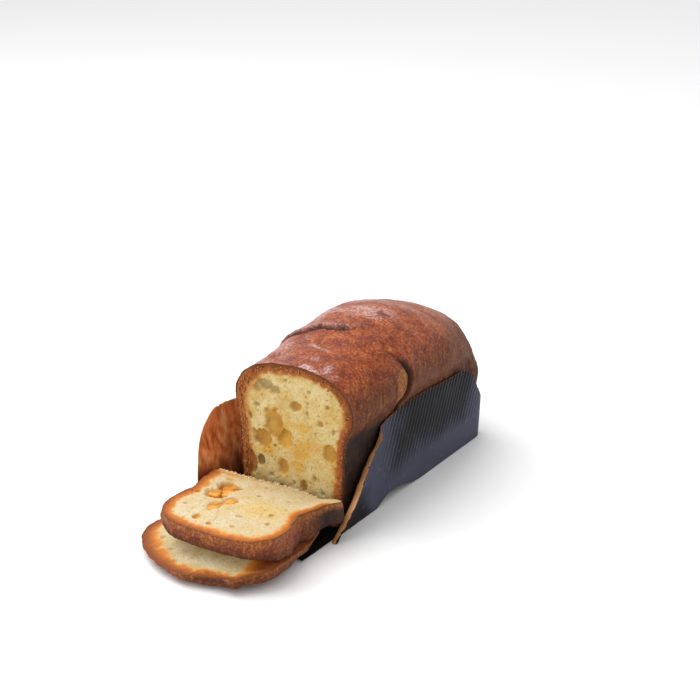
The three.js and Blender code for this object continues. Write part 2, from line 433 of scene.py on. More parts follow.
def hollows(a, b, holes, seed):
    """Depth in mm and share inside for (a, b, half width, half height, depth) holes. A hole is an
    ellipse with a wavering edge, a steep wall and a dished floor."""
    spot = points_at(a, b)
    waver = 0.18 * noise(spot, 4.0, seed, 2) + 0.12 * noise(spot, 1.5, seed + 3)
    depth = np.zeros_like(a)
    inside = np.zeros_like(a)
    for middle_a, middle_b, half_a, half_b, deep in holes:
        ring = np.hypot((a - middle_a) / half_a, (b - middle_b) / half_b) + waver
        depth = np.maximum(depth, deep * smooth(ring, 1.08, 0.72) * (1 - 0.25 * np.minimum(ring, 1) ** 2))
        inside = np.maximum(inside, smooth(ring, 1.1, 0.85))
    return depth, inside


def crumb_relief(points, seed):
    """Depth in mm of the open crumb and how far each point is inside a pore: three sizes of bubble
    that differ in radius, over a gentle unevenness left by the knife."""
    coarse, coarse_number = bubbles(points, 6.5, seed)
    middling, middling_number = bubbles(points, 2.9, seed + 20)
    fine, fine_number = bubbles(points, 1.5, seed + 40)
    big = smooth(coarse, 0.05 + 0.22 * coarse_number ** 3, 0.02)
    medium = smooth(middling, 0.14 + 0.30 * middling_number ** 2, 0.06)
    small = smooth(fine, 0.2 + 0.25 * fine_number, 0.1)
    depth = 1.5 * big + 0.75 * medium + 0.35 * small
    uneven = 0.5 * noise(points, 22, seed + 60) + 0.22 * noise(points, 2.2, seed + 61, 2)
    return depth + uneven, np.maximum(big, np.maximum(0.85 * medium, 0.5 * small))


print("crumb helpers ready")

# %% [markdown]
# ## Finish: sweet crumb
# Crumb is baked starch and egg: matte, a little translucent, golden where fruit and egg are rich.
# Five masks say where things are: how near the crust, how deep in a pore, where painted shade
# darkens it, in an amber hollow, in a brown one, in a syrup stain. Fine noise of about a millimetre
# breaks every colour up.

# %% Crumb material


def sweet_crumb(name, pale, gold, painted_pore_shade, syrup, amber_stops, rim_stops):
    """Crumb that runs from pale to gold, with painted shade in its pores, amber hollows and a baked rim."""
    material, tree, place = new_material(name)
    grain, cloud = (
        add(tree, "TexNoise", None, {"Vector": place, "Scale": 1 / size, "Detail": 3.0}).outputs["Fac"]
        for size in (1.3 * MM, 9 * MM))
    masks = {key: add(tree, "Attribute", {"attribute_name": key}).outputs["Fac"]
             for key in ("rim", "painted_pore_shade", "amber", "syrup", "brown")}
    crumb = add(tree, "ValToRGB", None, {"Fac": cloud}, [(0.35, pale), (0.7, gold)])
    speck = add(tree, "ValToRGB", None, {"Fac": grain}, [(0.3, "#d8c4a0"), (0.56, "#ffffff")])
    amber = add(tree, "ValToRGB", None, {"Fac": cloud}, amber_stops)
    wander = add(tree, "Math", {"operation": "MULTIPLY_ADD"}, {0: grain, 1: 0.3, 2: -0.15})
    edge = add(tree, "Math", {"operation": "ADD"}, {0: wander.outputs[0], 1: masks["rim"]})
    baked = add(tree, "ValToRGB", None, {"Fac": edge.outputs[0]}, rim_stops)
    how_baked = add(tree, "ValToRGB", None, {"Fac": edge.outputs[0]}, [(0.02, "#000000"), (0.38, "#ffffff")])
    colour = crumb.outputs[0]
    for how, share, layer in (
            (COLOUR_MIX, masks["syrup"], linear(syrup)),
            (COLOUR_MULTIPLY, 0.55, speck.outputs[0]),
            (COLOUR_MIX, masks["painted_pore_shade"], linear(painted_pore_shade)),
            (COLOUR_MIX, masks["amber"], amber.outputs[0]),
            (COLOUR_MIX, masks["brown"], linear("#7d5a2c")),
            (COLOUR_MIX, how_baked.outputs[0], baked.outputs[0])):
        colour = add(tree, "Mix", how, {0: share, 6: colour, 7: layer}).outputs[2]
    bump = add(tree, "Bump", None, {"Height": grain, "Strength": 0.5, "Distance": 0.6 * MM})
    finish_material(tree, Base_Color=colour, Roughness=0.78, Normal=bump.outputs[0],
                    Subsurface_Weight=0.12, Subsurface_Radius=(1.0, 0.6, 0.25), Subsurface_Scale=2 * MM,
                    Specular_IOR_Level=0.35)
    return material


# The loaf's face is the same crumb as the slices, given darker colours, most of all in its pores: painted
# shade, as the upright face gets less light from above. It is also a little yellower by its own tone.
loaf_crumb_in_painted_shade = sweet_crumb("sweet egg crumb of the loaf in painted shade", "#d6c591", "#c9a85f", "#8c6a30", "#cfa13c",
                         [(0.35, "#aa7826"), (0.65, "#cc9c3e")],
                         [(0.1, "#c08639"), (0.3, "#b0692a"), (0.7, "#914d1e"), (1.0, "#542711")])
slice_crumb = sweet_crumb("sweet egg crumb of the slice", "#d2c4a4", "#cdb47e", "#b08c4c", "#d6b25e",
                          [(0.35, "#b87418"), (0.65, "#dc9c3c")],
                          [(0.1, "#d6a04c"), (0.4, "#c87828"), (0.75, "#9e541c"), (1.0, "#743a14")])
heel_crumb = sweet_crumb("sweet egg crumb of the heel", "#d8cdaa", "#c9b681", "#94794a", "#cdb06a",
                         [(0.35, "#aa7826"), (0.65, "#cc9c3e")],
                         [(0.1, "#d3a050"), (0.4, "#cc7f2c"), (0.75, "#a35a20"), (1.0, "#7a3f16")])
print("crumb:", loaf_crumb_in_painted_shade.name, "/", slice_crumb.name, "/", heel_crumb.name)

# %% [markdown]
# ## Finish: glazed crust
# The crown was brushed with egg and sugar, so it baked red-brown with a soft gloss; pinkish-white
# patches on it are painted sheen, where the glaze reflects the light. The sides baked against paper
# and stayed matte and paler. One material does both, led by masks for glaze, painted sheen, dark
# patches with painted shade in cracks and grooves, pale torn places and a painted shadow in the gap
# beside the torn mould.

# %% Crust material


def egg_glazed_crust(name):
    """Crust that runs from matte side to glazed crown."""
    material, tree, place = new_material(name)
    stretched = add(tree, "Mapping", None, {"Vector": place, "Scale": (1.0, 1.0, 0.28)}).outputs[0]
    grain, blotch, scuff = (
        add(tree, "TexNoise", None, {"Vector": where, "Scale": 1 / size, "Detail": 4.0, "Roughness": rough})
        .outputs["Fac"] for where, size, rough in (
            (place, 1.6 * MM, 0.6), (place, 9 * MM, 0.6), (stretched, 2.6 * MM, 0.5)))
    masks = {key: add(tree, "Attribute", {"attribute_name": key}).outputs["Fac"]
             for key in ("glaze", "painted_sheen_and_scratch", "dark_patches_and_painted_shade", "pale", "painted_gap_shadow")}
    fine = add(tree, "Math", {"operation": "MULTIPLY_ADD"}, {0: grain, 1: 0.85, 2: -0.425})
    broad = add(tree, "Math", {"operation": "MULTIPLY_ADD"}, {0: blotch, 1: 0.55, 2: 0.23})
    crown_mottle, side_mottle = (
        add(tree, "Math", {"operation": "ADD"}, {0: fine.outputs[0], 1: other}).outputs[0]
        for other in (broad.outputs[0], scuff))
    crown = add(tree, "ValToRGB", None, {"Fac": crown_mottle},
                [(0.22, "#461709"), (0.45, "#7d3316"), (0.6, "#a65221"), (0.8, "#d08e46")])
    side = add(tree, "ValToRGB", None, {"Fac": side_mottle},
               [(0.2, "#281105"), (0.5, "#4e250b"), (0.8, "#824d19")])
    flesh = add(tree, "ValToRGB", None, {"Fac": fine.outputs[0]}, [(0.0, "#8c5424"), (0.14, "#bd8040")])
    # Painted sheen: pinkish-white flecks where the glazed crown reflects the light, also on the crack's lip and
    # the scratch.
    flake = add(tree, "ValToRGB", None, {"Fac": grain}, [(0.36, "#000000"), (0.62, "#ffffff")])
    painted_sheen_flecks = add(tree, "Math", {"operation": "MULTIPLY"}, {0: flake.outputs[0], 1: masks["painted_sheen_and_scratch"]})
    colour = side.outputs[0]
    for share, layer in (
            (masks["glaze"], crown.outputs[0]),
            (masks["pale"], flesh.outputs[0]),
            (painted_sheen_flecks.outputs[0], linear("#d2aca6")),
            # Near-black painted shade in the crack, the tear, the pits and creases, under the lifted crust and
            # low on the slices' crust, with a few dark patches.
            (masks["dark_patches_and_painted_shade"], linear("#1f1210")),
            # Near-black painted shadow in the gap beside the torn mould.
            (masks["painted_gap_shadow"], linear("#1c1613"))):
        colour = add(tree, "Mix", COLOUR_MIX, {0: share, 6: colour, 7: layer}).outputs[2]
    gloss = add(tree, "MapRange", None, {"Value": masks["glaze"], "To Min": 0.85, "To Max": 0.32})
    grit = add(tree, "Bump", None, {"Height": grain, "Strength": 0.8, "Distance": 0.8 * MM})
    finish_material(tree, Base_Color=colour, Roughness=gloss.outputs[0], Normal=grit.outputs[0],
                    Specular_IOR_Level=0.22, Coat_Weight=0.07, Coat_Roughness=0.25)
    return material


crust = egg_glazed_crust("egg-glazed sweet crust")
print("crust:", crust.name)

# %% [markdown]
# ## The loaf: its shape
# Dough rises straight up between the mould's walls, then spreads over the rim into a crown, so its
# section has straight sides, a waist and a domed top. The section is carried along the mould, the
# crown swells towards the middle, the far end rounds off as a superellipse and spills a little over
# the low corners of the rim. Carrying a section along a line suits this better than sculpting,
# because every ring stays a true slice of the loaf.

# %% Loaf shape
BASE = 1.3
CROWN_BASE = 58.0
CUT_FACE = 14.0
CUT_SKEW = 0.08
CROWN_RISE, CROWN_RISE_AT, CROWN_RISE_REACH = 11.5, 101.0, 58.0
TAPER_START = 118.0
WALL_HEIGHT = 61.0
REAR_INSIDE = 203.0
END_HEIGHT_POWERS = 2.1, 16  # the far end's outline from the side: round above CROWN_BASE, square below
END_PLAN_POWERS = 2.0, 4.5  # and from above: the crown is round, the part in the mould squarer
PLAN_BLEND = 46, 100  # heights between which one turns into the other
SPILL, SPILL_HEIGHT, SPILL_REACH, SPILL_MIDDLE = 3.8, 46, 14, 165  # the dough that spilt over the rim
FOOT_CREASE = 7.0
SECTION_MIDDLE = np.array([0.0, 53.0])
LOAF_SECTION = [
    (28, BASE), (35.5, 5), (36.9, 24), (38, 42), (38.4, 56), (40, 64.5), (44.5, 74), (43, 88),
    (33, 100), (15, 106.5), (-6, 107.5), (-24, 104), (-36, 95), (-40, 83), (-38.6, 70), (-37, 60),
    (-36.6, 45), (-36.6, 24), (-35.5, 5), (-28, BASE),
]


def crown_rise(y, z):
    """Extra height: a bell along the loaf, taken from zero at the cut, shared in only above the rim."""
    along = bell(y - CROWN_RISE_AT, CROWN_RISE_REACH)
    at_cut = bell(CUT_FACE - CROWN_RISE_AT, CROWN_RISE_REACH)
    return CROWN_RISE * (along - at_cut) * smooth(z, CROWN_BASE, 100)


def taper(v, power):
    """A superellipse quarter: 1 at v = 0, 0 at v = 1, squarer for a higher power."""
    return np.maximum(1 - v ** power, 0) ** (1 / power)


def foot_lift(x, y):
    """The mould is creased up off the table along a stretch of its right foot; this is by how much."""
    return FOOT_CREASE * smooth(y, 53, 70) * smooth(y, 112, 76) * smooth(x, 20, 37)


def loaf_surface(x, z, y, v):
    """A section point (x, z) carried to y; v from 0 to 1 runs through the rounded end instead."""
    skew = CUT_SKEW * np.maximum(0, 1 - (y - CUT_FACE) / 60) * x
    end = REAR_INSIDE - TAPER_START + 3 * np.clip(z / WALL_HEIGHT, 0, 1)
    along = y + skew + v * end
    height = np.maximum(z, BASE) + crown_rise(along, z) - CROWN_BASE
    above, below = (taper(v, power) for power in END_HEIGHT_POWERS)
    up = CROWN_BASE + height * np.where(height > 0, above, below)
    crown = smooth(z, *PLAN_BLEND)
    round_plan, square_plan = (taper(v, power) for power in END_PLAN_POWERS)
    across = x * ((1 - crown) * square_plan + crown * round_plan)
    spill = SPILL * bell(up - SPILL_HEIGHT, SPILL_REACH) * smooth(along, 172, 196)
    spill = spill * smooth(np.abs(across), 15, 25)
    reach = np.hypot(across, along - SPILL_MIDDLE) + 1
    up = np.maximum(up, BASE) + foot_lift(across, along) * smooth(up, 16, 3)
    return points_at(across * (1 + spill / reach), along + spill * (along - SPILL_MIDDLE) / reach, up)


def on_section(radius, angle, y, v):
    """The loaf's surface at a radius and angle from the middle of its section."""
    return loaf_surface(radius * np.cos(angle), SECTION_MIDDLE[1] + radius * np.sin(angle), y, v)


LOAF_CELLS = 138
# rows of rings as (from, to, how many), closest together round the crack and the tear
ROW_STRETCHES = [(0, 3, 5), (3, 46, 22), (46, 94, 58), (94, TAPER_START, 9)]
straight_rows = np.concatenate([np.linspace(a, b, n, endpoint=False) for a, b, n in ROW_STRETCHES])[1:]
straight_rows = CUT_FACE + straight_rows * (TAPER_START - CUT_FACE) / TAPER_START
ROUND_SHARES = np.concatenate([np.linspace(0, 0.93, 28), (1 - np.linspace(0.7, 0.02, 16) ** 4) ** 0.25])
row_y = np.concatenate([straight_rows, np.full(len(ROUND_SHARES), TAPER_START)])
row_v = np.concatenate([np.zeros(len(straight_rows)), ROUND_SHARES])

section_radius = polar_radius(closed_outline(LOAF_SECTION), SECTION_MIDDLE)
disc_u, disc_v, disc_edge = disc_grid(LOAF_CELLS)
disc_angle = np.arctan2(disc_v, disc_u)
disc_share = np.hypot(disc_u, disc_v)
edge_angle = disc_angle[disc_edge]


def ragged(angle):
    """How far the cut edge strays from the section, in mm: torn at the left, nearly clean elsewhere."""
    spot = points_at(np.cos(angle) * 40, np.sin(angle) * 40)
    left = smooth(np.cos(angle), -0.35, -0.85)
    return noise(spot, 5.0, 3, 3) * (0.35 + 0.8 * left)


face_radius = disc_share * (section_radius(disc_angle) + ragged(disc_angle) * disc_share ** 6)
face_points = on_section(face_radius, disc_angle, CUT_FACE, 0.0)
ring_radius = section_radius(edge_angle) + ragged(edge_angle) * np.exp(-(row_y[:, None] - CUT_FACE) / 1.5)
ring_points = on_section(ring_radius, edge_angle, row_y[:, None], row_v[:, None])
loaf_pole = ring_points[-1].mean(0) + (0, 0.2, 0)
loaf_points = np.vstack([face_points, ring_points.reshape(-1, 3), loaf_pole])
loaf_faces, loaf_part = body_faces(LOAF_CELLS, len(row_y), second_disc=False)
print("loaf:", len(loaf_points), "points in", len(row_y), "rings")

# %% [markdown]
# ## The loaf: cut face
# The knife went through candied apple and opened the hollows round it. Each hollow is given by its
# place on the face, half sizes and depth, all in millimetres. Amber ones had fruit in them, brown
# ones had darker fruit.

# %% Cut face relief
AMBER_HOLLOWS = [
    (3.5, 80.2, 4.6, 3.7, 3.0), (-17, 73.2, 2.6, 2.4, 1.8), (-12.5, 65.5, 6.6, 10.6, 3.6),
    (-21, 53.2, 7.2, 6.8, 4.0), (-4.7, 55.9, 6.0, 7.4, 3.2), (-6.5, 36.2, 4.2, 6.0, 3.0),
    (8.9, 25.8, 2.7, 4.2, 3.0), (21.6, 71.5, 2.1, 2.0, 2.0), (27.7, 52.5, 5.0, 6.4, 4.0),
]
BROWN_HOLLOWS = [(-30.8, 35.8, 4.9, 9.8, 2.4), (-22.7, 37.6, 3.3, 4.5, 2.4)]
PLAIN_HOLLOWS = [
    (-18.1, 91.2, 6.4, 3.6, 4.2), (-10.6, 88.6, 4.2, 3.0, 3.0), (-24, 88, 3, 3, 2.4),
    (-24.5, 76.5, 2.0, 1.6, 2.0), (26.6, 84.1, 1.6, 1.6, 1.6), (12.1, 77.3, 1.3, 1.3, 1.6),
    (-29.5, 68, 1.5, 2.6, 1.8),
    (17, 33, 1.6, 2.2, 1.8), (2, 27, 1.5, 2.0, 1.6), (-15, 29, 2.0, 1.4, 1.8), (31, 68, 1.2, 1.8, 1.5),
    (23, 24, 1.5, 1.2, 1.5), (-3, 97, 1.4, 1.1, 1.4), (14, 92, 1.2, 1.5, 1.4),
]

face_x, face_z = face_points[:, 0], face_points[:, 2]
section_loop = closed_outline(LOAF_SECTION, 240)
to_crust = path_distance(face_x, face_z, np.vstack([section_loop, section_loop[:1]]))
amber_depth, in_amber = hollows(face_x, face_z, AMBER_HOLLOWS, 5)
brown_depth, in_brown = hollows(face_x, face_z, BROWN_HOLLOWS, 6)
plain_depth, in_plain = hollows(face_x, face_z, PLAIN_HOLLOWS, 7)
flat_spot = points_at(face_x, face_z)
pore_depth, in_pore = crumb_relief(flat_spot, 100)
open_crumb = smooth(to_crust, 0.6, 3.5)
face_depth = most(amber_depth, brown_depth, plain_depth)
face_depth = open_crumb * (face_depth + pore_depth * (1 - 0.6 * most(in_amber, in_brown)))
near_crust = smooth(to_crust, 9, 3)
face_depth += near_crust * 0.55 * noise(flat_spot, 2.0, 140, 3)
loaf_points[:len(face_points), 1] += face_depth * smooth(disc_share, 1.0, 0.985)
SYRUP_STAINS = [(10.3, 51.9, 13, 16), (-6, 62, 12, 14), (8, 66, 9, 7), (-18, 48, 10, 9), (6, 40, 10, 6)]
syrup = np.zeros_like(face_x)
for stain_x, stain_z, half_x, half_z in SYRUP_STAINS:
    away = np.hypot((face_x - stain_x) / half_x, (face_z - stain_z) / half_z)
    syrup = most(syrup, smooth(away + 0.3 * noise(flat_spot, 6, 150, 2), 1.0, 0.2))
print("deepest hollow", face_depth.max().round(1), "mm")

# %% [markdown]
# ## The loaf: crust relief
# The crown wrinkled and cracked as it cooled. A crack opened across its left shoulder and left a
# raised lip. A tear opened on the right side: the crust behind it stands proud, and a crescent in
# front of it tore pale. A knife tip scratched the top. Each is a path on the crust, and the relief is
# a function of the distance from it.

# %% Crust relief
CRACK = [(-36, 58), (-26, 59.5), (-21, 60), (-16, 64), (-12, 67), (-5, 67), (3, 68), (9, 71), (15, 77)]  # x, y
SCRATCH = [(-3.5, 43.6), (3.5, 41.1), (11, 41.5)]  # x, y
STREAK = [(5, 131), (21, 117.5), (32, 110.5)]  # x, y
TEAR = [(70, 109), (74, 103), (81, 96), (86, 87), (85, 80), (82, 74), (78, 67), (75, 63)]  # y, z, at the right
# the same line read upwards, with its ends drawn out to the wall's rim and to the crown
TEAR_LINE = [(72, 60), (78, 67), (82, 74), (85, 80), (86, 87), (81, 96), (74, 103), (66, 109)]
PITS = [(32.6, 73.3), (32.2, 112.5), (34.2, 105.3)]  # x, y

LIP_FADE = 9.0


def step_down(behind, low, high):
    """A lip behind a crack: it rises between low and high and then fades over LIP_FADE."""
    return smooth(behind, low, high) * np.exp(-np.maximum(behind - high, 0) / LIP_FADE)


crust_points = loaf_points[len(face_points):]
smooth_normals = normals_of(loaf_points, loaf_faces)[len(face_points):]
cx, cy, cz = crust_points.T
on_crown = smooth(cz, 60, 78)
on_top = smooth(cz, 84, 92)
right_side = smooth(cx, 28, 34) * smooth(cz, 61, 64)

from_crack = path_distance(cx, cy + 0.8 * noise(crust_points, 3.0, 12, 2), CRACK)
behind_crack = cy - np.interp(cx, *np.array(CRACK).T)
crack = on_top * smooth(cx, 16, 0) * bell(from_crack, 1.2)
lip = on_top * smooth(cx, 22, 0) * step_down(behind_crack, 0.2, 1.4)

from_tear = path_distance(cy + 0.7 * noise(crust_points, 3.5, 14), cz, TEAR)
tear = right_side * bell(from_tear, 1.7) * smooth(cz, 110, 106) * (0.4 + 0.6 * smooth(cz, 102, 90))
tear_y, tear_z = np.array(TEAR_LINE).T
before_tear = np.interp(cz, tear_z, tear_y) - cy
# Painted shadow: a dark crescent under the lifted crust just behind the tear.
painted_crescent_shadow = right_side * smooth(before_tear, -2.6, -1.2) * smooth(before_tear, 0.9, 0.2)
painted_crescent_shadow *= smooth(cz, 103, 95) * smooth(cz, 64, 70)
lifted = right_side * step_down(-before_tear, 1.0, 2.4) * smooth(cz, 106, 92)

scratch = on_top * bell(path_distance(cx, cy, SCRATCH), 1.1)
streak = on_top * bell(path_distance(cx, cy, STREAK), 2.2)
pits = on_top * most(*(bell(np.hypot(cx - pit_x, cy - pit_y), 1.8) for pit_x, pit_y in PITS))

wrinkled = points_at(cx, 2.2 * cy, cz)
side_relief = 0.45 * noise(crust_points, 14, 26, 2) + 0.2 * noise(crust_points * (1, 1, 0.3), 3.5, 28)
relief = on_crown * (1.0 * noise(crust_points, 26, 20, 2) + 0.32 * noise(wrinkled, 9, 22, 2))
relief += 0.16 * noise(crust_points, 2.4, 24, 2)
relief += (1 - on_crown) * side_relief
relief += 2.0 * lip + 1.5 * lifted + 0.7 * scratch + 0.35 * streak
relief -= 2.4 * crack + 2.8 * tear + 0.9 * pits
behind_cut = cy - CUT_SKEW * cx - CUT_FACE
relief *= 0.25 + 0.75 * smooth(behind_cut, 0, 3)
relief = np.where(cz < 6, np.minimum(relief, 0), relief)
crust_points += smooth_normals * relief[:, None]
crust_points[:, 2] = np.maximum(crust_points[:, 2], BASE)
crust_points[:, 1] = np.minimum(crust_points[:, 1], REAR_INSIDE + 3)
print("crust relief from", relief.min().round(1), "to", relief.max().round(1), "mm")

# %% [markdown]
# ## The loaf: where each finish lies
# Crumb and crust read ten masks, and every cake piece carries all ten, so that one material can go
# from one piece to the next. Each mask is worked out from the same paths and depths as the relief.

# %% Loaf piece
CAKE_MASKS = ("rim", "painted_pore_shade", "amber", "brown", "syrup", "glaze", "painted_sheen_and_scratch", "pale", "dark_patches_and_painted_shade", "painted_gap_shadow")


def cake_masks(piece, sizes, given):
    """Stores every cake mask. A mask is given as one entry for each part of the piece, in the order
    of its points, and an entry may be one number. A mask that isn't given is zero."""
    for name in CAKE_MASKS:
        parts = given.get(name, (0,) * len(sizes))
        mask(piece, name, np.concatenate([np.broadcast_to(part, size) for part, size in zip(parts, sizes)]))


CRUMB, CRUST = 0, 1
loaf_kind = np.where(loaf_part == 0, CRUMB, CRUST)
loaf = make_piece("loaf", loaf_points, loaf_faces, [loaf_crumb_in_painted_shade, crust], loaf_kind)
cx, cy, cz = crust_points.T
behind_cut = cy - CUT_SKEW * cx - CUT_FACE
glaze = on_crown * (1 - 0.75 * smooth(cx + 0.12 * cy, 30, 50) * smooth(cz, 106, 84))
# Painted sheen: pinkish-white patches where the glazed crown reflects the light, and on the crack's raised lip.
# The knife's scratch, which is pale by itself, takes the same colour.
painted_sheen_region = most(
    smooth(np.hypot((cx - 14) / 20, (cy - 18) / 17), 1.0, 0.4),
    0.5 * smooth(cx, 4, -22),
    0.8 * smooth(np.abs(cy - 96 - 0.3 * cx), 16, 4) * smooth(cx, 26, 12),
)
painted_sheen_and_scratch = on_top * painted_sheen_region * smooth(noise(crust_points, 7, 31, 2), -0.35, 0.5)
painted_sheen_and_scratch = most(painted_sheen_and_scratch, scratch, 0.6 * lip * smooth(behind_crack, 5, 1))
patch = np.hypot((cy - 77) / 5.5, (cz - 81) / 12) + 0.35 * noise(crust_points, 5, 37, 3)
pale = right_side * smooth(patch, 1.15, 0.85) * smooth(before_tear, 1.4, 2.6)
pale = most(pale * (0.8 + 0.3 * noise(crust_points, 3, 38, 2)), scratch)
# Painted shade darkens the crack, the tear, the pits and the crescent under the lifted crust; the streak gets
# dark patches.
dark_patches_and_painted_shade = most(crack, smooth(tear, 0.15, 0.7), 0.9 * painted_crescent_shadow, 0.5 * pits)
dark_patches_and_painted_shade = most(dark_patches_and_painted_shade, 0.35 * streak * smooth(noise(crust_points, 3, 33), -0.2, 0.4))
# Painted shadow: near-black low on the right side by the cut, in the gap where the torn wall stands off the
# loaf.
gap_shadow_edge = 2.5 * noise(crust_points, 6, 35, 2)
painted_gap_shadow = smooth(cx, 34, 36.5) * smooth(behind_cut + 0.6 * gap_shadow_edge, 1.0, 3.6) * smooth(cz + gap_shadow_edge, 68, 61)
painted_gap_shadow *= smooth(cy, 66, 56) * (0.9 + 0.2 * noise(crust_points, 4, 39, 2))
rim_width = 8.0 + 4.0 * smooth(face_x, -20, -36) + 1.5 * smooth(face_z, 90, 104)
rim_width += 5.0 * smooth(face_z, 70, 88) * smooth(face_x, -12, -32)
rim_width += 1.8 * noise(flat_spot, 9, 160, 2) + 2.3 * noise(flat_spot, 2.6, 162, 2)
face_rim = (1 - to_crust / rim_width) * (1 - 0.4 * smooth(face_x, -22, -34) * smooth(to_crust, 0.3, 1.5))
cake_masks(loaf, (len(face_points), len(crust_points)), {
    "rim": (face_rim, 1),
    # Painted shade in the pores and the plain hollows.
    "painted_pore_shade": (open_crumb * most(in_pore * 0.75, 0.38 * in_plain), 0),
    "amber": (0.85 * in_amber * smooth(amber_depth, 0.1, 1.6), 0),
    "brown": (0.85 * in_brown * smooth(brown_depth, 0.1, 1.6), 0),
    "syrup": (0.75 * syrup, 0),
    "glaze": (0, glaze),
    "painted_sheen_and_scratch": (0, painted_sheen_and_scratch),
    "pale": (0, pale),
    "dark_patches_and_painted_shade": (0, dark_patches_and_painted_shade),
    "painted_gap_shadow": (0, painted_gap_shadow),
})
settle(loaf, "cake_loaf")

# %% [markdown]
# ## The upper slice
# The slice is the same loaf one knife stroke further on, so its outline is the loaf's section laid
# down: base end at the rear, waist, then the crown in front. It is limp, so its top is a gentle
# arch over the heel below. Two cut faces and a crust band between them make the closed body.

# %% Slice shape
BASE_END_THICKNESS, CROWN_END_THICKNESS = 15.0, 11.5
SLICE_OUTLINE = [
    (43, 9), (22, 10.5), (3, 12), (-14, 5), (-32, 1), (-47, -1), (-45, -18), (-40.5, -38), (-42.5, -56),
    (-38, -70), (-26, -76.5), (-6, -78), (16, -77.5), (31, -74), (41, -64), (43.5, -51), (39.5, -38),
    (36, -28), (38, -16), (40.5, -4),
]


def slice_top(x, y):
    """Height of the slice: low at its base end, an arch in the middle, a drooping crown end, and the
    right corner of the base curled up against the loaf."""
    along = (12 - y) / 100
    curled = 4.0 * smooth(x, 22, 42) * smooth(y, -24, 4)
    return 24.5 + 30 * along - 24 * along ** 2 - 0.06 * x * (1 - along) + curled


def slice_under(x, y):
    """The slice's lower face: its full thickness at the base end, thinner towards the crown end, and
    sagging over the heel's right side."""
    thickness = CROWN_END_THICKNESS + (BASE_END_THICKNESS - CROWN_END_THICKNESS) * smooth(y, -75, -25)
    sag = 4.5 * smooth(x, 14, 36) * smooth(y, -78, -56) * smooth(y, -2, -22)
    return slice_top(x, y) - thickness - sag


def slab_points(outline, middle, cells, profile, top, under, ragged_mm, second_disc, seed):
    """Points of a cut slab: the top disc, then rings given by (scale, share) from top to under side.
    Returns the points, each ring point's share of the way down, and the number of disc points."""
    radius = polar_radius(outline, middle)
    u, v, edge = disc_grid(cells)
    angle, share = np.arctan2(v, u), np.hypot(u, v)

    def place(scale, down, theta):
        spot = points_at(40 * np.cos(theta), 40 * np.sin(theta), 6 * down)
        r = scale * (radius(theta) + ragged_mm * noise(spot, 4.0, seed, 3) * scale ** 6)
        x, y = middle[0] + r * np.cos(theta), middle[1] + r * np.sin(theta)
        return points_at(x, y, (1 - down) * top(x, y) + down * under(x, y))

    scales, downs = (np.array(profile)[:, k:k + 1] for k in (0, 1))
    disc = place(scales[0, 0] * share, 0.0, angle)
    theta = np.broadcast_to(angle[edge], (len(profile) - 1, 4 * cells))
    rings = place(scales[1:], downs[1:], theta)
    if second_disc:
        inner = np.ones(len(share), bool)
        inner[edge] = False
        far = place(scales[-1, 0] * share[inner], downs[-1, 0], angle[inner])
    else:
        far = rings[-1].mean(0)[None]
    return np.vstack([disc, rings.reshape(-1, 3), far]), np.repeat(downs[1:, 0], 4 * cells), len(disc)


SLICE_CELLS = 150
SLICE_MIDDLE = (0.0, -35.0)
BAND_SHARES = np.linspace(0, 1, 22)
BAND_SCALES = 0.988 + 0.022 * np.sin(np.pi * BAND_SHARES) ** 0.6 - 0.025 * BAND_SHARES ** 3
slice_points, slice_down, slice_disc = slab_points(
    closed_outline(SLICE_OUTLINE), SLICE_MIDDLE, SLICE_CELLS, np.column_stack([BAND_SCALES, BAND_SHARES]),
    slice_top, slice_under, 0.9, True, 41)
slice_faces, slice_part = body_faces(SLICE_CELLS, len(BAND_SHARES) - 1, second_disc=True)
print("slice:", len(slice_points), "points")

# %% Slice relief
SLICE_HOLLOWS = [
    (-23, -33, 7.6, 9.0, 4.0), (-23, -21.5, 8.0, 8.5, 5.0), (-13.5, -48.5, 4.6, 6.6, 2.6),
    (-9, -38, 4.2, 6.6, 2.4),
]
SLICE_AMBER = [
    (-14.7, -64.9, 2.6, 3.4, 1.8), (-3.3, -67.6, 2.4, 1.6, 1.0), (22.4, -38.8, 1.7, 2.2, 1.4),
    (24.8, -26.3, 1.0, 1.4, 1.0), (-30, -10, 3.4, 3.0, 1.2),
]
SLICE_PLAIN = [
    (0, -20, 2.2, 1.8, 1.3), (18, -14, 2.0, 1.6, 1.2), (8, -52, 2.6, 1.8, 1.0), (-33, -40, 2.0, 2.4, 1.2),
    (28, -50, 1.6, 2.0, 1.2), (-6, -4, 1.8, 1.5, 1.2), (12, -64, 2.4, 1.4, 0.9), (-30, -56, 1.6, 1.2, 1.2),
]


def cut_relief(points, outline, deep_holes, amber_holes, plain_holes, seed, calm):
    """Depth, distance from the rim, pore mask and fruit mask of a cut face seen from above; calm
    below 1 makes the pores shallower."""
    x, y = points[:, 0], points[:, 1]
    loop = closed_outline(outline, 240)
    rim = path_distance(x, y, np.vstack([loop, loop[:1]]))
    crumb = smooth(rim, 0.6, 4.0)
    (deep, in_deep), (amber, in_amber_hole), (plain, in_plain_hole) = (
        hollows(x, y, holes, seed + k) for k, holes in enumerate((deep_holes, amber_holes, plain_holes)))
    flat = points_at(x, y)
    pores, in_pores = crumb_relief(flat, seed + 10)
    depth = crumb * (most(deep, amber, plain) + calm * pores * (1 - 0.5 * in_deep))
    depth += (1 - crumb) * 0.3 * noise(flat, 1.8, seed + 50, 2)
    fruit = most(in_deep * smooth(deep, 0.4, 3), in_amber_hole * smooth(amber, 0.2, 1))
    return depth, rim, crumb * most(0.7 * in_pores, 0.5 * in_plain_hole), fruit


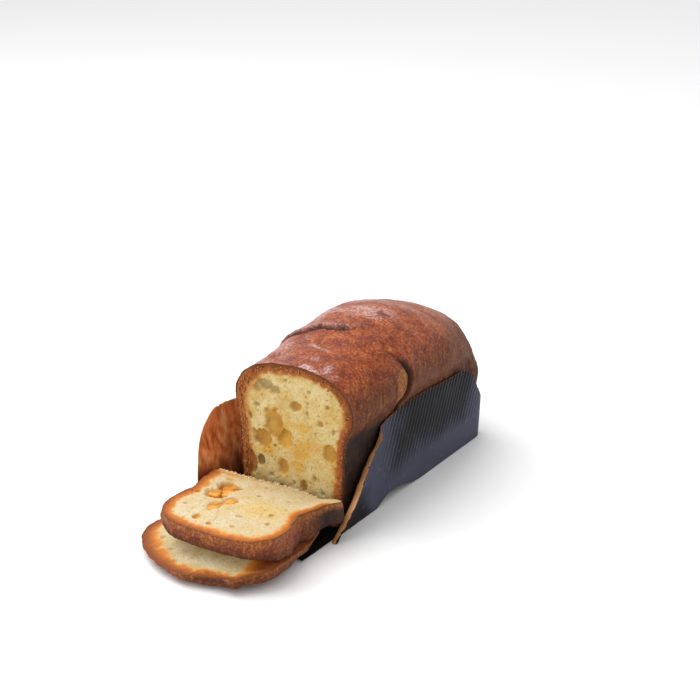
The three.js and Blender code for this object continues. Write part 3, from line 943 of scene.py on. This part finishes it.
def push_in(points, disc_count, depth, cells):
    """Presses the top disc down by depth, but not its very edge."""
    u, v, _ = disc_grid(cells)
    points[:disc_count, 2] -= depth * smooth(np.hypot(u, v), 1.0, 0.985)


slice_face = slice_points[:slice_disc]
slice_depth, slice_rim, slice_pore_shade, slice_fruit = cut_relief(
    slice_face, SLICE_OUTLINE, SLICE_HOLLOWS, SLICE_AMBER, SLICE_PLAIN, 200, 0.7)
slice_normals = normals_of(slice_points, slice_faces)
band = slice(slice_disc, slice_disc + len(slice_down))
push_in(slice_points, slice_disc, slice_depth, SLICE_CELLS)
band_points = slice_points[band]
rough_side = 0.5 + smooth(band_points[:, 0], 20, 34) * smooth(band_points[:, 1], -66, -48)
band_relief = 0.9 * noise(band_points, 9, 210, 2) + 0.45 * noise(band_points * (1, 1, 0.5), 2.8, 212, 2)
band_relief *= rough_side * np.sin(np.pi * np.clip(slice_down, 0.02, 0.98)) ** 0.5
slice_points[band] += slice_normals[band] * band_relief[:, None]
under = slice_points[band.stop:]
under[:, 2] += 0.5 * crumb_relief(points_at(under[:, 0], under[:, 1]), 260)[0]
print("slice hollow", slice_depth.max().round(1), "mm deep")

# %% Slice piece
slice_kind = np.where(slice_part == 1, CRUST, CRUMB)
upper = make_piece("upper_slice", slice_points, slice_faces, [slice_crumb, crust], slice_kind)
bx, by, _ = slice_points[band].T
fx, fy, _ = slice_face.T
slice_rim_width = 8.0 + 2 * smooth(fx, -25, -42) + 1.6 * noise(slice_face, 8, 230, 2)
slice_rim_width += 1.6 * noise(slice_face, 2.4, 232, 2)
right_base = 0.9 * smooth(bx, 31, 35) * smooth(by + 4 * noise(band_points, 6, 240), -20, -8)
cake_masks(upper, (slice_disc, len(slice_down), len(under)), {
    "rim": ((1 - slice_rim / slice_rim_width) * (1 - 0.9 * smooth(fy, -8, 1)), 1, 0.1),
    # Painted shade in the pores, and a little over the underside.
    "painted_pore_shade": (slice_pore_shade, 0, 0.2),
    "amber": (slice_fruit, 0, 0),
    "syrup": (0.7 * smooth(np.hypot((fx - 14) / 22, (fy + 38) / 20), 1, 0), 0, 0),
    "glaze": (0, 0.3 + 0.4 * smooth(slice_down, 0.9, 0.15) * smooth(by, -20, -45), 0),
    "pale": (0, most(0.55 * smooth(slice_down, 0.5, 0.02), smooth(by, -3, 3)), 0),
    # Painted shade over the lower half of the crust band; the base end's right corner is a dark patch.
    "dark_patches_and_painted_shade": (0, most(right_base * smooth(slice_down, 0.1, 0.35), 0.3 * smooth(slice_down, 0.35, 0.9)), 0),
})
settle(upper, "slice_upper")

# %% [markdown]
# ## The heel
# The first slice off a loaf is its rounded end. It lies on its crust, so its underside is a shallow
# bowl and its crust comes up at a slant, which is why the baked rim on its cut face looks so wide.

# %% Heel shape
HEEL_CELLS = 120
HEEL_MIDDLE = (-8.0, -48.0)
GAP = 0.3
HEEL_OUTLINE = [
    (34, -6), (8, -5), (-20, -6), (-36, -12), (-43, -24), (-54, -35), (-63, -46), (-63.5, -57), (-56, -69),
    (-42, -80), (-25, -87.5), (-8, -90), (8, -86.5), (20, -84), (27, -83.5), (31.5, -77.5), (39.5, -71),
    (44, -57), (41, -39), (38, -20),
]
HEEL_PLAIN = [
    (-44, -62, 2.4, 1.8, 1.2), (-30, -72, 1.8, 1.4, 1.0), (-20, -80, 2, 1.2, 0.9), (-50, -50, 1.6, 2, 1.0),
]
HEEL_CREASE = [(2, -89), (9, -87), (16, -84.5), (24, -80)]


def heel_top(x, y):
    """The heel's cut face: a slope down to the front left, a little crowned, below the upper slice."""
    slope = 19 + 0.076 * x + 0.124 * y
    crown = 4 * np.maximum(0, 1 - np.hypot((x + 12) / 50, (y + 46) / 44) ** 2)
    return np.minimum(slope + crown, slice_under(x, y) - 1.2)


def heel_under(x, y):
    """A shallow bowl: height grows with the square of the distance from where it touches the table."""
    return 0.0016 * ((x + 8) ** 2 + (y + 60) ** 2) + GAP


SWEEP = np.linspace(0, 1, 60)
SWEEP_KNOTS = [0, 0.12, 0.25, 0.36, 0.46, 1]
HEEL_PROFILE = np.column_stack([
    np.interp(SWEEP, SWEEP_KNOTS, [1.0, 1.0, 0.985, 0.95, 0.88, 0.02]),
    np.interp(SWEEP, SWEEP_KNOTS, [0.0, 0.3, 0.6, 0.85, 1.0, 1.0]),
])
heel_points, heel_down, heel_disc = slab_points(
    closed_outline(HEEL_OUTLINE), HEEL_MIDDLE, HEEL_CELLS, HEEL_PROFILE, heel_top, heel_under, 0.8, False, 61)
heel_faces, heel_part = body_faces(HEEL_CELLS, len(SWEEP) - 1, second_disc=False)
print("heel:", len(heel_points), "points")

# %% Heel relief and piece
heel_face = heel_points[:heel_disc]
heel_depth, heel_rim, heel_pore_shade, _ = cut_relief(heel_face, HEEL_OUTLINE, [], [], HEEL_PLAIN, 300, 0.45)
heel_normals = normals_of(heel_points, heel_faces)
push_in(heel_points, heel_disc, heel_depth, HEEL_CELLS)
heel_band = slice(heel_disc, heel_disc + len(heel_down))
hx, hy, hz = heel_points[heel_band].T
heel_relief = 0.7 * noise(heel_points[heel_band], 15, 310, 2) + 0.3 * noise(heel_points[heel_band], 3.2, 312, 2)
crease = bell(path_distance(hx, hy, HEEL_CREASE), 1.6)
crease *= smooth(heel_down, 0.0, 0.2) * smooth(heel_down, 0.9, 0.4)
heel_relief = np.minimum(heel_relief - 1.4 * crease, 0.8 * hz)
heel_points[heel_band] += heel_normals[heel_band] * (heel_relief * smooth(heel_down, 0, 0.1))[:, None]
heel_points[:, 2] = np.maximum(heel_points[:, 2], GAP)
heel_kind = np.where(heel_part == 0, CRUMB, CRUST)
heel = make_piece("heel_slice", heel_points, heel_faces, [heel_crumb, crust], heel_kind)
gx, gy, _ = heel_face.T
wide_rim = 9 - 4.5 * smooth(gx, -35, 0) + 2 * noise(heel_face, 14, 320, 2) + 1.2 * noise(heel_face, 2.6, 322, 2)
crusty_side = 0.95 * smooth(gx, 20, 36) * smooth(gy - 0.4 * gx, -92, -82)
cake_masks(heel, (heel_disc, len(heel_down), 1), {
    "rim": (most(1 - smooth(heel_rim, 0, 1.7 * wide_rim), crusty_side), 1, 1),
    # Painted shade in the pores.
    "painted_pore_shade": (heel_pore_shade * smooth(heel_rim, 6, 12), 0, 0),
    "glaze": (0, 0.3 + 0.4 * smooth(hx, 10, -20), 0),
    "pale": (0, 0.5 * smooth(heel_down, 0.4, 0.0), 0),
    # Painted shade in the crease of the crust.
    "dark_patches_and_painted_shade": (0, 0.45 * crease, 0),
})
settle(heel, "slice_heel")

# %% [markdown]
# ## The paper mould's wall
# The wall is one strip of baking paper, pressed into narrow pleats so that it can turn the corners,
# and folded up from the floor. Carrying a pleated profile along the mould's plan gives the wall as
# one surface of two parameters, distance along and share of height. It was torn open at the front
# right, where the edge curls out and shows its tan inside, and pulled open at the front left.

# %% Wall plan and edge
HALF_WIDTH, CORNER, WALL_REAR, WALL_FRONT = 38.5, 16.0, 204.5, -28.0
PLEAT_PITCH = 4.4
PLEAT_DEPTH = 0.6
PLEAT_SLANT = 0.38  # the pleats lean towards the rear as they rise
PAPER = 0.45
WALL_SINK = 0.65  # outer face this far inside the wall's outer size, leaving room for the pleats
FLAP_START, FLAP_FULL = 112, 38  # where the left wall begins to open, and where it stands open
FLAP_SHIFT = 8  # how far the flap's foot is pulled outwards at its front
WALL_LEAN, FLAP_LEAN, TEAR_LEAN = 3, 12, 10  # outwards at the rim, and how much more at the flap and the tear
FLAP_SWEEP = 26  # its front edge leans this far to the rear
FLAP_CORNER = 22
CORNER_DIP, CORNER_DIP_REACH = 34, 19
TEAR_FOOT, TEAR_HEIGHT, TEAR_LENGTH, TEAR_POWER = 3, 62, 58, 0.85
TEAR_JOIN = 60  # square millimetres: how softly the torn edge runs into the whole rim

side_length = WALL_REAR - CORNER
corner_length = CORNER * np.pi / 2
rear_length = 2 * (HALF_WIDTH - CORNER)
joints = np.cumsum([0, side_length, corner_length, rear_length, corner_length, side_length - WALL_FRONT])
print("wall's stretches end at", joints.round(), "mm")


def wall_foot(s):
    """Foot and outward direction of the wall at distance s: right side, corner, rear, corner, left side."""
    around = (np.clip(s - joints[1], 0, corner_length) + np.clip(s - joints[3], 0, corner_length)) / CORNER
    out = np.stack([np.cos(around), np.sin(around)], -1)
    rear_x = np.clip(s - joints[2], 0, rear_length)
    x = HALF_WIDTH - CORNER - rear_x + CORNER * out[..., 0]
    y = np.where(s < joints[1], s, WALL_REAR - CORNER + CORNER * out[..., 1])
    y = np.where(s > joints[4], side_length - (s - joints[4]), y)
    return np.stack([x, y], -1), out


def opened(y, start, full):
    """0 where the left wall still stands, 1 where it is pulled open."""
    return smooth(-y, -start, -full)


def foot_shift(y):
    """How far the opened flap has pulled the mould's left foot outwards."""
    return FLAP_SHIFT * opened(y, FLAP_START, WALL_FRONT)


def edge_height(foot):
    """Height of the paper: full, less a dip at each rear corner, the tear and the flap's round corner."""
    x, y = foot[..., 0], foot[..., 1]
    corner_x = HALF_WIDTH - CORNER * (1 - np.sqrt(0.5))
    corner_y = WALL_REAR - CORNER * (1 - np.sqrt(0.5))
    dip = CORNER_DIP * bell(np.hypot(np.abs(x) - corner_x, y - corner_y), CORNER_DIP_REACH)
    bow = np.where(x < 0, 4 * opened(y, FLAP_START, FLAP_FULL), 4.5 * bell(y - 95, 38))
    full = WALL_HEIGHT - dip + bow
    torn = TEAR_FOOT + TEAR_HEIGHT * (np.clip(y, 0, 90) / TEAR_LENGTH) ** TEAR_POWER
    torn = np.where(x > 0, torn, full)
    joined = full - 0.5 * (np.sqrt((full - torn) ** 2 + TEAR_JOIN) + (full - torn))
    across = np.clip(1 - (y - WALL_FRONT) / FLAP_CORNER, 0, 1)
    rounded = full - FLAP_CORNER * (1 - np.sqrt(1 - across ** 2))
    return np.where((x > 0) & (y < 110), joined, np.where(x < 0, rounded, full))


# %% Wall surface
CURL_WIDTH, CURL_RADIUS = 7.5, 5.0
CREASE_BULGE = 1.2
TEAR_SLOPE = 0.72  # run of the torn edge in the plan for each unit along it


def pleat_phase(s, x, z):
    """How many pleats from the start: distance along less the slant, over the pitch."""
    return (s - PLEAT_SLANT * z * np.where(x < 0, -1, 1)) / PLEAT_PITCH


def wall_surface(s, share, inside):
    """Paper at distance s and share of the height. Outward place = lean + pleat wave + broad folds +
    curl of the torn edge; inside is 0 on the outer face and 1 on the inner."""
    foot, out = wall_foot(s)
    x, y = foot[..., 0], foot[..., 1]
    on_left = x < 0
    torn = (x > 0) * smooth(y, 60, 50)
    edge = edge_height(foot) + (0.35 + 0.5 * torn) * noise(points_at(s), 3.5, 71, 3)
    lift = foot_lift(x, y)
    z = lift * (1 - share) ** 1.5 + share * edge
    flap = np.where(on_left, opened(y, FLAP_START, FLAP_FULL), 0)
    sweep = np.where(on_left, FLAP_SWEEP * opened(y, 60, WALL_FRONT), 0)
    lean = WALL_LEAN + FLAP_LEAN * flap + TEAR_LEAN * (x > 0) * smooth(y, 40, 5)
    slope = TEAR_SLOPE * torn
    from_edge = np.maximum(edge - z, 0) * np.sqrt(1 - slope ** 2)
    rolled = torn * np.maximum(CURL_WIDTH - from_edge, 0) / CURL_RADIUS
    curl_out = CURL_RADIUS * (1 - np.cos(rolled))
    pull_back = CURL_RADIUS * (rolled - np.sin(rolled))
    firm = smooth(y, 44, 74) * smooth(y, 198, 176) * (~on_left)
    firm = firm + (0.85 - 0.6 * flap) * on_left + 0.8 * (np.abs(x) < 26)
    pleated = np.clip(firm, 0, 1) * smooth(z, 14, 26) + 0.12
    wave = np.abs(np.sin(np.pi * pleat_phase(s, x, z))) ** 0.7 - 0.62
    broad = 0.5 * noise(points_at(s, share * 10), 24, 73, 2) * smooth(share, 0, 0.3)
    depth = WALL_SINK + inside * PAPER
    away = lean * (z / WALL_HEIGHT) - depth + PLEAT_DEPTH * wave * pleated + broad + curl_out
    away += CREASE_BULGE * lift / FOOT_CREASE * (1 - share) ** 2
    plan_x = x - np.where(on_left, foot_shift(y), 0) + out[..., 0] * away
    plan_y = y + out[..., 1] * away + sweep * (z / WALL_HEIGHT) + pull_back * slope
    z = np.maximum(z - pull_back * np.sqrt(1 - slope ** 2), 0)
    return points_at(plan_x, plan_y, z), torn, flap, from_edge


STEPS = [(0, side_length, 430), (side_length, joints[4], 130), (joints[4], joints[5], 330)]
wall_s = np.concatenate([np.linspace(a, b, n, endpoint=False) for a, b, n in STEPS] + [[joints[5]]])
UP = np.concatenate([np.linspace(0, 0.9, 26, endpoint=False), np.linspace(0.9, 1, 8)])
grid_s, grid_share = np.meshgrid(wall_s, np.concatenate([UP, UP[::-1]]), indexing="ij")
inside_or_out = np.repeat([0.0, 1.0], len(UP))
wall_grid, wall_torn, wall_flap, wall_from_edge = wall_surface(grid_s, grid_share, inside_or_out)
columns, loop = grid_s.shape
numbers = np.arange(columns * loop).reshape(columns, loop)
wall_quads = grid_faces(np.hstack([numbers, numbers[:, :1]]))[:, ::-1]
outer_count = len(UP)
end_quads = []
for column, turned in ((0, 1), (columns - 1, -1)):
    ends = np.stack([numbers[column, :outer_count], numbers[column, :outer_count - 1:-1]])
    end_quads.append(np.stack([ends[0, :-1], ends[0, 1:], ends[1, 1:], ends[1, :-1]], -1)[:, ::turned])
wall_faces = np.vstack([wall_quads, *end_quads])
OUTER, INNER, EDGE = 0, 1, 2
loop_step = np.tile(np.arange(loop), columns - 1)
face_kind = np.where(loop_step < outer_count - 1, OUTER, np.where(loop_step < outer_count, EDGE, INNER))
face_kind = np.concatenate([face_kind, np.full(len(wall_faces) - len(wall_quads), EDGE)])
print("wall:", numbers.size, "points,", round(joints[5]), "mm long")

# %% [markdown]
# ## Finish: baking paper
# The paper is dark slate outside with a dull sheen, and brown kraft inside. Butter soaked the inside
# of the opened flap, so it shines orange-brown. Along the tear the bare kraft shows as tan fibres.

# %% Paper materials


def dark_baking_paper(name):
    """Near-black paper, painted lighter slate where light falls: fine fibre mottling, a few pale scuffs,
    painted shade in its grooves and painted highlights on the pleat crests.
    """
    material, tree, place = new_material(name)
    fibre, cloud = (
        add(tree, "TexNoise", None, {"Vector": place, "Scale": 1 / size, "Detail": 3.0}).outputs["Fac"]
        for size in (1.1 * MM, 28 * MM))
    rubbed = add(tree, "TexNoise", None,
                 {"Vector": place, "Scale": 1 / (5 * MM), "Detail": 5.0, "Roughness": 0.7})
    painted_groove_shade, slate = (
        add(tree, "Attribute", {"attribute_name": key}).outputs["Fac"] for key in ("painted_groove_shade", "slate"))
    uneven = add(tree, "Math", {"operation": "MULTIPLY_ADD"}, {0: cloud, 1: 0.5, 2: -0.25})
    # Painted light: the share of lighter slate where the wall is lit and on the pleat crests.
    painted_lightness = add(tree, "Math", {"operation": "ADD"}, {0: uneven.outputs[0], 1: slate})
    shade = add(tree, "ValToRGB", None, {"Fac": painted_lightness.outputs[0]},
                [(0.0, "#0e0e11"), (0.5, "#292931"), (1.0, "#48495b")])
    specks = add(tree, "ValToRGB", None, {"Fac": fibre}, [(0.35, "#bcbcbc"), (0.7, "#ffffff")])
    scuff = add(tree, "ValToRGB", None, {"Fac": rubbed.outputs["Fac"]}, [(0.6, "#000000"), (0.72, "#808080")])
    colour = shade.outputs[0]
    for how, share, layer in (
            (COLOUR_MULTIPLY, 0.6, specks.outputs[0]),
            (COLOUR_MIX, scuff.outputs[0], linear("#858894")),
            # Painted shade: near-black in the grooves of the pleats.
            (COLOUR_MIX, painted_groove_shade, linear("#050507"))):
        colour = add(tree, "Mix", how, {0: share, 6: colour, 7: layer}).outputs[2]
    bump = add(tree, "Bump", None, {"Height": fibre, "Strength": 0.25, "Distance": 0.2 * MM})
    finish_material(tree, Base_Color=colour, Roughness=0.5, Normal=bump.outputs[0], Specular_IOR_Level=0.12)
    return material


def buttered_kraft(name):
    """Kraft paper soaked by butter: orange-brown and glossy, dark where cake stuck, tan where dry, and tan
    along the flap's rim as a painted highlight.
    """
    material, tree, place = new_material(name)
    streaky = add(tree, "Mapping", None, {"Vector": place, "Scale": (1.0, 1.0, 0.5)})
    fibre = add(tree, "TexNoise", None, {"Vector": streaky.outputs[0], "Scale": 1 / (5 * MM), "Detail": 4.0})
    stuck, dry_kraft_and_painted_rim_light = (add(tree, "Attribute", {"attribute_name": key}).outputs["Fac"] for key in ("stuck", "dry_kraft_and_painted_rim_light"))
    soaked = add(tree, "ValToRGB", None, {"Fac": fibre.outputs["Fac"]},
                 [(0.3, "#aa4c24"), (0.52, "#e08246"), (0.78, "#f8ba88")])
    colour = soaked.outputs[0]
    for share, layer in ((stuck, "#4a2012"), (dry_kraft_and_painted_rim_light, "#c48c5b")):
        colour = add(tree, "Mix", COLOUR_MIX, {0: share, 6: colour, 7: linear(layer)}).outputs[2]
    bump = add(tree, "Bump", None, {"Height": fibre.outputs["Fac"], "Strength": 0.3, "Distance": 0.3 * MM})
    finish_material(tree, Base_Color=colour, Roughness=0.36, Normal=bump.outputs[0])
    return material


def rough_fibres(name, dark, light):
    """Anything dry that broke, such as torn paper or a crumb: matte, mottled between two colours."""
    material, tree, place = new_material(name)
    fibre = add(tree, "TexNoise", None, {"Vector": place, "Scale": 1 / (0.9 * MM), "Detail": 3.0})
    colour = add(tree, "ValToRGB", None, {"Fac": fibre.outputs["Fac"]}, [(0.3, dark), (0.7, light)])
    finish_material(tree, Base_Color=colour.outputs[0], Roughness=0.9)
    return material


slate_paper = dark_baking_paper("dark slate baking paper")
kraft = buttered_kraft("buttered brown kraft paper")
kraft_edge = rough_fibres("torn kraft edge", "#8a4a2a", "#c58d5e")
print("papers:", slate_paper.name, "/", kraft.name, "/", kraft_edge.name)

# %% Wall piece
wall = make_piece("pleated_wall", wall_grid.reshape(-1, 3), wall_faces.tolist(),
                  [slate_paper, kraft, kraft_edge], face_kind)
wall_x, wall_y, wall_z = np.moveaxis(wall_grid, -1, 0)
crest = np.abs(np.sin(np.pi * pleat_phase(grid_s, wall_x, wall_z)))
pleat_firm = np.where(wall_x > 0, smooth(wall_y, 50, 78) * smooth(wall_y, 196, 170), 0.8 - 0.6 * wall_flap)
pleat_firm *= smooth(wall_z, 10, 34)
uneven = noise(wall_grid, 22, 77, 2)
# Painted light: lighter slate low down, by the tear, at the rear corner and on the left side.
low_part = smooth(wall_z + 7 * uneven, 44, 12) * smooth(wall_y + 0.7 * wall_z + 8 * uneven, 36, 62)
by_tear = smooth(wall_y + 9 * uneven, 92, 62) * smooth(wall_y + 0.7 * wall_z + 7 * uneven, 40, 62)
by_corner = smooth(wall_y + 0.3 * (60 - wall_z) + 5 * uneven, 168, 192)
on_left_side = (wall_x < 0) * (0.65 + 0.2 * uneven)
stuck_cake = wall_flap * smooth(wall_z + 6 * noise(wall_grid, 7, 75, 2), 42, 16)
wall_masks = {
    # Painted shade in the grooves of the pleats.
    "painted_groove_shade": smooth(crest, 0.55, 0.05) * pleat_firm,
    # Painted light on the lit parts of the wall and painted highlights on the pleat crests.
    "slate": most(low_part, by_tear, by_corner, on_left_side) + 0.45 * smooth(crest, 0.86, 1.0) * pleat_firm,
    "stuck": most(stuck_cake, 0.9 * (1 - wall_flap) * (1 - wall_torn)),
    # Tan where the torn kraft is dry, and a painted highlight along the flap's rim.
    "dry_kraft_and_painted_rim_light": most(wall_torn * smooth(wall_from_edge, 9, 4), 0.4 * wall_flap * smooth(wall_from_edge, 4, 1)),
}
for name, values in wall_masks.items():
    mask(wall, name, values.ravel())
settle(wall, "mould_wall")

# %% [markdown]
# ## The mould's floor
# The floor is the same dark paper, flat under the loaf, with a torn front edge that waves a little.
# It widens on the left, where the opened flap has pulled its own foot outwards.

# %% Floor piece
FLOOR_PAPER = 0.3
LYING, HIGHEST_WAVE = 0.35, 1.3


def floor_surface(u, v):
    """Paper at share u across and v along: straight sides, rounded rear corners, ragged front edge."""
    half, rear, radius = HALF_WIDTH - 1.5, FLOOR_REAR, CORNER - 1.5
    ragged_front = WALL_FRONT + 1.6 * noise(points_at(60 * u), 9, 81, 3)
    y = ragged_front + v * (rear - ragged_front)
    into_corner = np.clip((y - (rear - radius)) / radius, 0, 1)
    width = half - radius * (1 - np.sqrt(np.maximum(1 - into_corner ** 2, 0)))
    straight_x = (2 * u - 1) * width
    x = straight_x - foot_shift(y) * smooth(u, 0.5, 0)
    rise = LYING + 0.5 * smooth(y, -12, -28) * (0.6 + noise(points_at(x, y), 14, 83))
    return points_at(x, y, np.clip(rise, LYING, HIGHEST_WAVE) + foot_lift(x, y))


along_floor = np.concatenate([np.linspace(0, 0.2, 60), np.linspace(0.21, 1, 90)])
grid_u, grid_v = np.meshgrid(np.linspace(0, 1, 90), along_floor, indexing="ij")
floor_top = floor_surface(grid_u, grid_v).reshape(-1, 3)
count = grid_u.size
top_numbers = np.arange(count).reshape(grid_u.shape)
border = np.concatenate(
    [top_numbers[:-1, 0], top_numbers[-1, :-1], top_numbers[:0:-1, -1], top_numbers[0, :0:-1]])
border_quads = np.stack([border, border + count, np.roll(border, -1) + count, np.roll(border, -1)], -1)
floor_faces = np.vstack([grid_faces(top_numbers), grid_faces(top_numbers + count)[:, ::-1], border_quads])
floor_paper = make_piece("mould_floor_paper", np.vstack([floor_top, floor_top - (0, 0, FLOOR_PAPER)]),
                         floor_faces.tolist(), [slate_paper], np.zeros(len(floor_faces)))
for name in ("painted_groove_shade", "slate"):
    mask(floor_paper, name, np.zeros(2 * count))
settle(floor_paper, "mould_floor")

# %% [markdown]
# ## Candied apple
# Apple cooked in sugar is a soft amber cube with rounded corners and a wet shine. A superellipsoid,
# an ellipsoid with powers that square it up, gives that shape; noise makes each cube its own.

# %% Candied apple


def candied_apple_finish(name):
    """Sugared fruit: amber, wet, a little translucent."""
    material, tree, place = new_material(name)
    cloud = add(tree, "TexNoise", None, {"Vector": place, "Scale": 1 / (5 * MM), "Detail": 2.0})
    colour = add(tree, "ValToRGB", None, {"Fac": cloud.outputs["Fac"]},
                 [(0.3, "#a8640e"), (0.5, "#cf8a1e"), (0.75, "#e4aa42")])
    finish_material(tree, Base_Color=colour.outputs[0], Roughness=0.5, Subsurface_Weight=0.3,
                    Subsurface_Radius=(1.0, 0.5, 0.12), Subsurface_Scale=3 * MM,
                    Coat_Weight=0.15, Coat_Roughness=0.3)
    return material


def squared(value):
    """A sine or cosine pushed out towards 1 or -1: the root of its size, with its sign."""
    return np.sign(value) * np.abs(value) ** 0.5


def fruit_cube(middle, half, turned, seed):
    """A superellipsoid: squared-up sines and cosines of two angles, scaled, roughened and turned."""
    sectors = 24
    ring = np.linspace(0, 2 * np.pi, sectors, endpoint=False)
    rise = np.linspace(-np.pi / 2, np.pi / 2, 15)[1:-1]
    around, up = np.meshgrid(ring, rise, indexing="ij")
    level = squared(np.cos(up))
    shape = points_at(level * squared(np.cos(around)), level * squared(np.sin(around)), squared(np.sin(up)))
    body = np.vstack([shape.reshape(-1, 3), (0, 0, -1), (0, 0, 1)]) * half
    body *= 1 + 0.16 * noise(body, 3.6, seed, 2)[:, None]
    c, s = np.cos(turned), np.sin(turned)
    body = body @ np.array([[c, s, 0], [-s, c, 0], [0, 0, 1]]) + middle
    index = np.arange(around.size).reshape(around.shape)
    index = np.vstack([index, index[:1]])
    low, high = len(body) - 2, len(body) - 1
    caps = [(index[i + 1, 0], index[i, 0], low) for i in range(sectors)]
    caps += [(index[i, -1], index[i + 1, -1], high) for i in range(sectors)]
    return body, [*grid_faces(index).tolist(), *caps]


def join(bodies):
    """Several (points, faces) as one: each one's point numbers are moved past the last one's."""
    points, faces, start = [], [], 0
    for body, its_faces in bodies:
        points.append(body)
        faces += [[number + start for number in one] for one in its_faces]
        start += len(body)
    return np.vstack(points), faces


APPLE_CUBES = [
    (-20, -23.5, 3.4, (5.6, 7.0, 2.8), 0.5, 401), (-26, -31.5, 3.4, (4.0, 4.8, 2.2), 0.2, 402),
    (-13.8, -48.5, 2.0, (4.2, 5.4, 1.8), -0.2, 404), (-9.4, -38.5, 2.0, (3.6, 5.0, 1.7), -0.3, 407),
]  # x, y, how far below the slice's top, half sizes, turn, seed
apple = candied_apple_finish("candied apple")
apple_points, apple_faces = join(
    fruit_cube(np.array([x, y, slice_top(x, y) - below]), half, turned, seed)
    for x, y, below, half, turned, seed in APPLE_CUBES)
apple_pieces = make_piece("apple_in_slice", apple_points, apple_faces, [apple], np.zeros(len(apple_faces)))
settle(apple_pieces, "slice_upper")

# %% [markdown]
# ## Loose crumbs
# A knife drags crumbs out of a soft loaf. They stay round the edge of its face, most of all along the
# torn left side, and on the slice's base end. Each is a cube with its corners pushed about, which is
# as much as so small a thing shows.

# %% Loose crumbs
FACE_EDGE = [
    (-36, 20), (-36.2, 45), (-36.6, 60), (-38, 70), (-39.4, 83), (-35.5, 95), (-23, 102.5), (-5, 106),
    (14, 105), (32, 98.5), (41.5, 87), (43, 75), (38.8, 64), (37.5, 45), (36.5, 25), (35, 8),
]  # x, z round the loaf's face
BASE_EDGE = [(-46, 0), (-32, 1.5), (-14, 5.5), (3, 12), (22, 10)]  # x, y along the slice's base end
FACE_TRIES, BASE_CRUMBS = 1300, 220
CUBE_CORNERS = np.array([(x, y, z) for x in (-1, 1) for y in (-1, 1) for z in (-1, 1)], float)
CUBE_FACES = [[0, 1, 3, 2], [4, 6, 7, 5], [0, 4, 5, 1], [2, 3, 7, 6], [0, 2, 6, 4], [1, 5, 7, 3]]


def along_path(path, count):
    """That many places along a path, each stretch with the same number, and how far along they are."""
    share = np.linspace(0, len(path) - 1, count)
    return *(np.interp(share, range(len(path)), axis) for axis in np.array(path).T), share


def crumb_piece(name, places, smallest, largest, seed, finish, node):
    """A piece of loose crumbs: at each place a cube of random size, each corner pushed at random."""
    lumps = []
    for count, place in enumerate(places):
        size = smallest + (largest - smallest) * knot_values(np.array([count, 5, 9]), seed)
        corner_knots = points_at(count, np.arange(8), 3)
        nudge = points_at(*(knot_values(corner_knots, seed + k) for k in range(3)))
        lumps.append((place + size * (0.55 * CUBE_CORNERS + 0.7 * (nudge - 0.5)), CUBE_FACES))
    points, faces = join(lumps)
    settle(make_piece(name, points, faces, [finish], np.zeros(len(faces))), node)


edge_x, edge_z, along_edge = along_path(FACE_EDGE, FACE_TRIES)
wander = np.stack([noise(points_at(along_edge * 90), 1.0, 500 + k) for k in range(3)], -1)
inward = SECTION_MIDDLE - np.stack([edge_x, edge_z], -1)
inward /= np.linalg.norm(inward, axis=1)[:, None]
torn_side = smooth(edge_x, -20, -34)
reach = 1.4 + 2.2 * wander[:, 0] + torn_side * (2.0 + 2.2 * wander[:, 0])
spot_x, spot_z = edge_x + inward[:, 0] * reach, edge_z + inward[:, 1] * reach
face_crumbs = points_at(spot_x, CUT_FACE + CUT_SKEW * spot_x + 1.2 * wander[:, 1], spot_z + wander[:, 2])
drawn = knot_values(points_at(np.arange(FACE_TRIES), 0, 7), 530)
face_crumbs = face_crumbs[drawn > 0.35 + 0.25 * (1 - torn_side)]
toasted = rough_fibres("toasted crumbs", "#8a4a22", "#b87a3c")
crumb_piece("crumbs_on_loaf", face_crumbs, 0.3, 1.0, 510, toasted, "cake_loaf")

base_x, base_y, _ = along_path(BASE_EDGE, BASE_CRUMBS)
base_x = base_x + 1.5 * wander[:BASE_CRUMBS, 0]
base_y = base_y - 0.8 + 1.8 * wander[:BASE_CRUMBS, 1]
base_crumbs = points_at(base_x, base_y, slice_top(base_x, base_y) - 0.2 + 0.7 * wander[:BASE_CRUMBS, 2])
buttery = rough_fibres("buttery crumbs", "#c98f4c", "#f0dfae")
crumb_piece("crumbs_on_slice", base_crumbs, 0.5, 1.2, 520, buttery, "slice_upper")

# %% Size of the frame
print("CAD box", [round(1000 * v, 1) for v in (*cad_low, *cad_high)])
